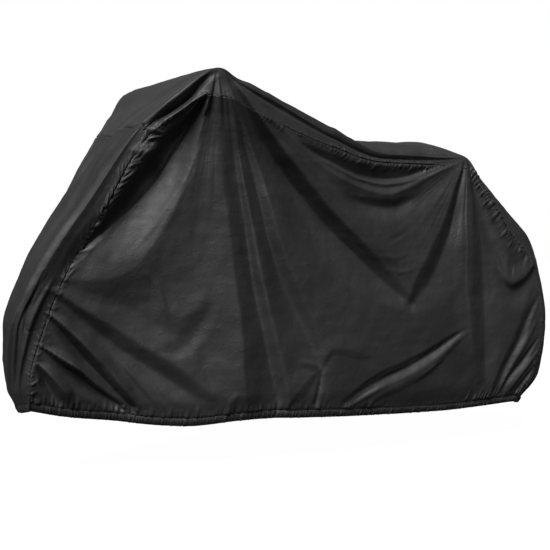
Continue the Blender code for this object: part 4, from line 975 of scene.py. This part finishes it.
def add_grid(name, points, cloth_at, seam_at, flip):
    """Mesh of a grid, with its place on the cloth and beside the seam as UV maps, in metres."""
    rows, columns = points.shape[:2]
    index = np.arange(rows * columns).reshape(rows, columns)
    quads = np.stack(
        [index[:-1, :-1], index[:-1, 1:], index[1:, 1:], index[1:, :-1]], axis=-1
    ).reshape(-1, 4)
    if flip:
        quads = quads[:, ::-1]
    mesh = bpy.data.meshes.new(name)
    mesh.from_pydata(placed(points).reshape(-1, 3).tolist(), [], quads.tolist())
    for layer_name, pair in (("cloth", cloth_at), ("seam", seam_at)):
        if pair is None:
            continue
        layer = mesh.uv_layers.new(name=layer_name)
        values = np.stack([np.ravel(pair[0]), np.ravel(pair[1])], axis=1)[quads.ravel()]
        layer.uv.foreach_set("vector", values.ravel().astype(np.float32))
    mesh.shade_smooth()
    obj = bpy.data.objects.new(name, mesh)
    bpy.context.scene.collection.objects.link(obj)
    return obj


# Looks. Each cloth has a usual colour, a faded one, a roughness and its stitch lines, as their
# distances from the seam or from the hem's bottom edge.
Cloth = namedtuple("Cloth", "name colour faded roughness stitches")
PANEL = Cloth("panel_nylon", (0.0110, 0.0110, 0.0118), (0.0160, 0.0160, 0.0170), 0.62, (0.0035,))
# Front strip: the panel nylon made darker all over, painted shade
SHADED_FRONT = Cloth("front_nylon", (0.0046, 0.0046, 0.0051), (0.0072, 0.0072, 0.0079), 0.66, (0.0035,))
# Hem: the panel nylon made darker, painted shade where the hem faces down
SHADED_BAND = Cloth("hem_nylon", (0.0070, 0.0070, 0.0076), (0.0105, 0.0105, 0.0112), 0.66, (0.0225,))
SMOOTHER, ROUGHER = 0.04, 0.05  # how far the roughness strays to each side
SHEEN = 0.008
THREAD_COLOUR = (0.004, 0.004, 0.004)
STITCH_DEPTH = 0.0004
STITCH_SHARE = 0.72  # share of its pitch that a stitch covers
THREAD_WIDTH, WEAVE_DEPTH = 0.0007, 0.00003
CRINKLE_SCALE, CRINKLE_DEPTH = 42.0, 0.0012
GRAIN_SCALE, GRAIN_SHARE = 240.0, 0.28  # the grain's fineness, and its share beside the crinkles
SWELL_SHARE = 0.8  # share of soft swells beside the sharp crinkles
TONE_SCALE = 7.0  # fineness of the slow change of tone


def new_group(name, inputs, outputs):
    """A shader group with named number inputs, each with its default, and number outputs."""
    group = bpy.data.node_groups.new(name, "ShaderNodeTree")
    for socket, default in inputs:
        kind = "NodeSocketVector" if default is None else "NodeSocketFloat"
        made = group.interface.new_socket(name=socket, in_out="INPUT", socket_type=kind)
        if default is not None:
            made.default_value = default
    for socket in outputs:
        group.interface.new_socket(name=socket, in_out="OUTPUT", socket_type="NodeSocketFloat")
    return group, group.nodes.new("NodeGroupInput"), group.nodes.new("NodeGroupOutput")


def math(group, operation, first, second=None):
    """A Math node whose inputs are sockets or numbers, as its output socket."""
    node = group.nodes.new("ShaderNodeMath")
    node.operation = operation
    for socket, value in zip(node.inputs, (first, second)):
        if hasattr(value, "links"):
            group.links.new(value, socket)
        elif value is not None:
            socket.default_value = value
    return node.outputs[0]


def weave_group():
    """Plain weave: threads of the given width in metres, over and under each other."""
    group, given, gives = new_group("weave", [("Place", None), ("Thread", 0.0006)], ["Height"])
    split = group.nodes.new("ShaderNodeSeparateXYZ")
    group.links.new(given.outputs["Place"], split.inputs[0])
    turns = math(group, "DIVIDE", pi, given.outputs["Thread"])
    warp = math(group, "SINE", math(group, "MULTIPLY", split.outputs["X"], turns))
    weft = math(group, "SINE", math(group, "MULTIPLY", split.outputs["Y"], turns))
    group.links.new(math(group, "MULTIPLY", warp, weft), gives.inputs["Height"])
    return group


def crinkle_group():
    """Fine creases of thin coated cloth, with the height and a slow change of tone."""
    group, given, gives = new_group(
        "crinkle", [("Place", None), ("Scale", 60.0)], ["Height", "Tone"]
    )
    fine = group.nodes.new("ShaderNodeTexNoise")
    fine.noise_dimensions = "3D"
    fine.inputs["Detail"].default_value = 4.0
    fine.inputs["Roughness"].default_value = 0.55
    fine.inputs["Distortion"].default_value = 0.6
    broad = group.nodes.new("ShaderNodeTexNoise")
    broad.inputs["Scale"].default_value = TONE_SCALE
    broad.inputs["Detail"].default_value = 3.0
    group.links.new(given.outputs["Place"], fine.inputs["Vector"])
    group.links.new(given.outputs["Scale"], fine.inputs["Scale"])
    group.links.new(given.outputs["Place"], broad.inputs["Vector"])
    ridge = math(group, "ABSOLUTE", math(group, "SUBTRACT", fine.outputs["Fac"], 0.5))
    grain = group.nodes.new("ShaderNodeTexNoise")
    grain.inputs["Scale"].default_value = GRAIN_SCALE
    grain.inputs["Detail"].default_value = 2.0
    group.links.new(given.outputs["Place"], grain.inputs["Vector"])
    height = math(group, "ADD", ridge, math(group, "MULTIPLY", fine.outputs["Fac"], SWELL_SHARE))
    height = math(group, "ADD", height, math(group, "MULTIPLY", grain.outputs["Fac"], GRAIN_SHARE))
    group.links.new(height, gives.inputs["Height"])
    group.links.new(broad.outputs["Fac"], gives.inputs["Tone"])
    return group


def stitch_group():
    """Lockstitches beside a seam: 1 on a stitch and 0 off it."""
    group, given, gives = new_group(
        "stitch", [("Place", None), ("Offset", 0.003), ("Pitch", 0.0035), ("Width", 0.0007)],
        ["Mask"],
    )
    split = group.nodes.new("ShaderNodeSeparateXYZ")
    group.links.new(given.outputs["Place"], split.inputs[0])
    beside = math(
        group, "ABSOLUTE", math(group, "SUBTRACT", split.outputs["Y"], given.outputs["Offset"])
    )
    narrow = math(group, "LESS_THAN", beside, given.outputs["Width"])
    turn = math(group, "FRACT", math(group, "DIVIDE", split.outputs["X"], given.outputs["Pitch"]))
    on = math(group, "LESS_THAN", turn, STITCH_SHARE)
    group.links.new(math(group, "MULTIPLY", narrow, on), gives.inputs["Mask"])
    return group


WEAVE, CRINKLE, STITCH = weave_group(), crinkle_group(), stitch_group()


def use_group(tree, group, **values):
    """A group node whose inputs are sockets or numbers."""
    node = tree.nodes.new("ShaderNodeGroup")
    node.node_tree = group
    for key, value in values.items():
        if hasattr(value, "links"):
            tree.links.new(value, node.inputs[key])
        else:
            node.inputs[key].default_value = value
    return node


def fabric(name, colour, faded, roughness, stitches):
    """Coated nylon: woven, finely crinkled, a little uneven in tone, and stitched."""
    material = bpy.data.materials.new(name)
    material.use_nodes = True
    tree = material.node_tree
    tree.nodes.clear()
    shader = tree.nodes.new("ShaderNodeBsdfPrincipled")
    shader.inputs["Specular IOR Level"].default_value = 0.5
    shader.inputs["Sheen Weight"].default_value = SHEEN
    shader.inputs["Sheen Roughness"].default_value = 0.5
    output = tree.nodes.new("ShaderNodeOutputMaterial")
    tree.links.new(shader.outputs[0], output.inputs["Surface"])
    cloth = tree.nodes.new("ShaderNodeUVMap")
    cloth.uv_map = "cloth"
    solid = tree.nodes.new("ShaderNodeTexCoord")
    crinkle = use_group(tree, CRINKLE, Place=solid.outputs["Object"], Scale=CRINKLE_SCALE)
    weave = use_group(tree, WEAVE, Place=cloth.outputs[0], Thread=THREAD_WIDTH)
    tone = tree.nodes.new("ShaderNodeMix")
    tone.data_type = "RGBA"
    tone.inputs["A"].default_value = (*colour, 1)
    tone.inputs["B"].default_value = (*faded, 1)
    tree.links.new(crinkle.outputs["Tone"], tone.inputs["Factor"])
    base = tone.outputs["Result"]
    gloss = tree.nodes.new("ShaderNodeMapRange")
    gloss.inputs["From Min"].default_value = 0.3
    gloss.inputs["From Max"].default_value = 0.7
    gloss.inputs["To Min"].default_value = roughness - SMOOTHER
    gloss.inputs["To Max"].default_value = roughness + ROUGHER
    tree.links.new(crinkle.outputs["Tone"], gloss.inputs["Value"])
    tree.links.new(gloss.outputs["Result"], shader.inputs["Roughness"])
    height = math(
        tree, "ADD",
        math(tree, "MULTIPLY", crinkle.outputs["Height"], CRINKLE_DEPTH),
        math(tree, "MULTIPLY", weave.outputs["Height"], WEAVE_DEPTH),
    )
    if stitches:
        seam = tree.nodes.new("ShaderNodeUVMap")
        seam.uv_map = "seam"
        for offset in stitches:
            mask = use_group(tree, STITCH, Place=seam.outputs[0], Offset=offset).outputs["Mask"]
            height = math(tree, "ADD", height, math(tree, "MULTIPLY", mask, STITCH_DEPTH))
            thread = tree.nodes.new("ShaderNodeMix")
            thread.data_type = "RGBA"
            thread.inputs["B"].default_value = (*THREAD_COLOUR, 1)
            tree.links.new(mask, thread.inputs["Factor"])
            tree.links.new(base, thread.inputs["A"])
            base = thread.outputs["Result"]
    tree.links.new(base, shader.inputs["Base Color"])
    bump = tree.nodes.new("ShaderNodeBump")
    bump.inputs["Strength"].default_value = 1.0
    bump.inputs["Distance"].default_value = 1.0
    tree.links.new(height, bump.inputs["Height"])
    tree.links.new(bump.outputs["Normal"], shader.inputs["Normal"])
    return material


# Camera: where it stands, how it is turned, and its lens.
CAMERA_AT = (-0.669, -3.016, -0.497)
CAMERA_YAW, CAMERA_PITCH, CAMERA_ROLL = radians(18.57), radians(1.69), radians(-0.34)
CAMERA_LENS, CAMERA_SENSOR = 64.15, 36.0  # millimetres
CAMERA_SIGHT = 100.0  # metres that it sees

# Lights: how many degrees to the left of the camera each stands and how many above the ground,
# its strength, and its spread in degrees.
Light = namedtuple("Light", "name aside height strength spread")
LIGHTS = [
    Light("key", 20, 50, 6.3, 30),
    Light("side", 100, 35, 0.16, 50),
    Light("back", 178, 24, 0.20, 60),
]
AMBIENT = 0.04  # strength of the white light from all round
FLOOR_DROP = HANG_POINT[2]
FLOOR_SIZE = 30.0  # from its middle to each edge
FLOOR_COLOUR = (0.06, 0.06, 0.06)
FLOOR_LIFT = 0.985  # how bright the floor stays in the shadow


def add_camera():
    """Camera that looks at the left side, a little from the front."""
    data = bpy.data.cameras.new("camera")
    data.lens, data.sensor_width = CAMERA_LENS, CAMERA_SENSOR
    data.clip_end = CAMERA_SIGHT
    camera = bpy.data.objects.new("camera", data)
    bpy.context.scene.collection.objects.link(camera)
    turn = (
        Matrix.Rotation(-CAMERA_YAW, 4, "Z")
        @ Matrix.Rotation(radians(90) - CAMERA_PITCH, 4, "X")
        @ Matrix.Rotation(CAMERA_ROLL, 4, "Z")
    )
    camera.matrix_world = Matrix.Translation(CAMERA_AT) @ turn
    bpy.context.scene.camera = camera


def add_lights():
    """Soft sun lights, and a plain white world that lights little and shows white."""
    toward_camera = np.array([-np.sin(CAMERA_YAW), -np.cos(CAMERA_YAW)])
    left_of_it = np.array([-np.cos(CAMERA_YAW), np.sin(CAMERA_YAW)])
    for light in LIGHTS:
        data = bpy.data.lights.new(light.name, "SUN")
        data.energy, data.angle = light.strength, radians(light.spread)
        lamp = bpy.data.objects.new(light.name, data)
        bpy.context.scene.collection.objects.link(lamp)
        aside, high = radians(light.aside), radians(light.height)
        flat = np.cos(aside) * toward_camera + np.sin(aside) * left_of_it
        source = Vector((*(np.cos(high) * flat), np.sin(high)))
        lamp.rotation_euler = source.to_track_quat("Z", "Y").to_euler()
    world = bpy.data.worlds.new("studio")
    bpy.context.scene.world = world
    world.use_nodes = True
    tree = world.node_tree
    tree.nodes.clear()
    seen, given = (tree.nodes.new("ShaderNodeBackground") for _ in range(2))
    seen.inputs["Color"].default_value = (1, 1, 1, 1)
    given.inputs["Color"].default_value = (1, 1, 1, 1)
    given.inputs["Strength"].default_value = AMBIENT
    path, mixed = tree.nodes.new("ShaderNodeLightPath"), tree.nodes.new("ShaderNodeMixShader")
    output = tree.nodes.new("ShaderNodeOutputWorld")
    tree.links.new(path.outputs["Is Camera Ray"], mixed.inputs[0])
    tree.links.new(given.outputs[0], mixed.inputs[1])
    tree.links.new(seen.outputs[0], mixed.inputs[2])
    tree.links.new(mixed.outputs[0], output.inputs["Surface"])
    bpy.context.scene.view_settings.view_transform = "Standard"


def add_floor():
    """Plain pale floor on the ground."""
    mesh = bpy.data.meshes.new("floor")
    corners = [(-1, -1), (1, -1), (1, 1), (-1, 1)]
    spots = [(FLOOR_SIZE * x, FLOOR_SIZE * y, -FLOOR_DROP) for x, y in corners]
    mesh.from_pydata(spots, [], [(0, 1, 2, 3)])
    floor = bpy.data.objects.new("floor", mesh)
    bpy.context.scene.collection.objects.link(floor)
    material = bpy.data.materials.new("floor_white")
    material.use_nodes = True
    tree = material.node_tree
    tree.nodes.clear()
    matt, glow = tree.nodes.new("ShaderNodeBsdfDiffuse"), tree.nodes.new("ShaderNodeEmission")
    matt.inputs["Color"].default_value = (*FLOOR_COLOUR, 1)
    path, added = tree.nodes.new("ShaderNodeLightPath"), tree.nodes.new("ShaderNodeAddShader")
    output = tree.nodes.new("ShaderNodeOutputMaterial")
    lift = math(tree, "MULTIPLY", path.outputs["Is Camera Ray"], FLOOR_LIFT)
    tree.links.new(lift, glow.inputs["Strength"])
    tree.links.new(matt.outputs[0], added.inputs[0])
    tree.links.new(glow.outputs[0], added.inputs[1])
    tree.links.new(added.outputs[0], output.inputs["Surface"])
    mesh.materials.append(material)


# Seed for each panel's chance puckers and gathers.
LEFT_SEED, RIGHT_SEED, FRONT_SEED, TOP_SEED = 11, 31, 51, 71
HEM_SEED = 5  # added to a panel's own seed for its hem
HEM_BACK = 0.006  # share of the strip after which a line shows which way is up at its hem


# The hem's material is the darker copy of the nylon, which is painted shade
def dress(cloth, hem, material, shaded_band):
    """Material, body and material slot of a panel's cloth and hem."""
    for piece, look in ((cloth, material), (hem, shaded_band)):
        piece.data.materials.append(look)
        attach(piece, "root")


def main():
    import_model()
    add_camera()
    add_lights()
    add_floor()
    # The hems' material is a darker copy of the panel nylon, which is painted shade
    panel, front, shaded_band = fabric(*PANEL), fabric(*SHADED_FRONT), fabric(*SHADED_BAND)
    sides = (
        ("left", LEFT, LEFT_FOLDS, LEFT_GRID, LEFT_SEED),
        ("right", RIGHT, RIGHT_FOLDS, RIGHT_GRID, RIGHT_SEED),
    )
    for name, side, folds, size, seed in sides:
        points, cloth_at, seam_at = side_panel(side, folds, size, seed)
        cloth = add_grid(f"cloth_{name}", points, cloth_at, seam_at, side == RIGHT)
        edge, hem_at = side_hem(side, folds, seed + HEM_SEED)
        hem = add_grid(f"hem_{name}", edge, hem_at, hem_at, side == LEFT)
        dress(cloth, hem, panel, shaded_band)
        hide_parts(f"side_panel_{name}")
    strips = (
        # The front strip wears the darker copy of the nylon, which is painted shade
        ("front", "front_hem", CROSS_SEAM, FRONT_GRID, front, FRONT_SEED, (0.0, HEM_BACK), 1),
        ("top", CROSS_SEAM, "rear_hem", TOP_GRID, panel, TOP_SEED, (1.0, 1 - HEM_BACK), -1),
    )
    for name, start, end, size, material, seed, ends, turn in strips:
        points, cloth_at, seam_at = strip_panel(start, end, size, seed)
        cloth = add_grid(f"cloth_{name}", points, cloth_at, seam_at, False)
        edge, hem_at = strip_hem(*ends, turn, seed + HEM_SEED)
        hem = add_grid(f"hem_{name}", edge, hem_at, hem_at, turn > 0)
        dress(cloth, hem, material, shaded_band)
        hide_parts(f"{name}_panel")


main()
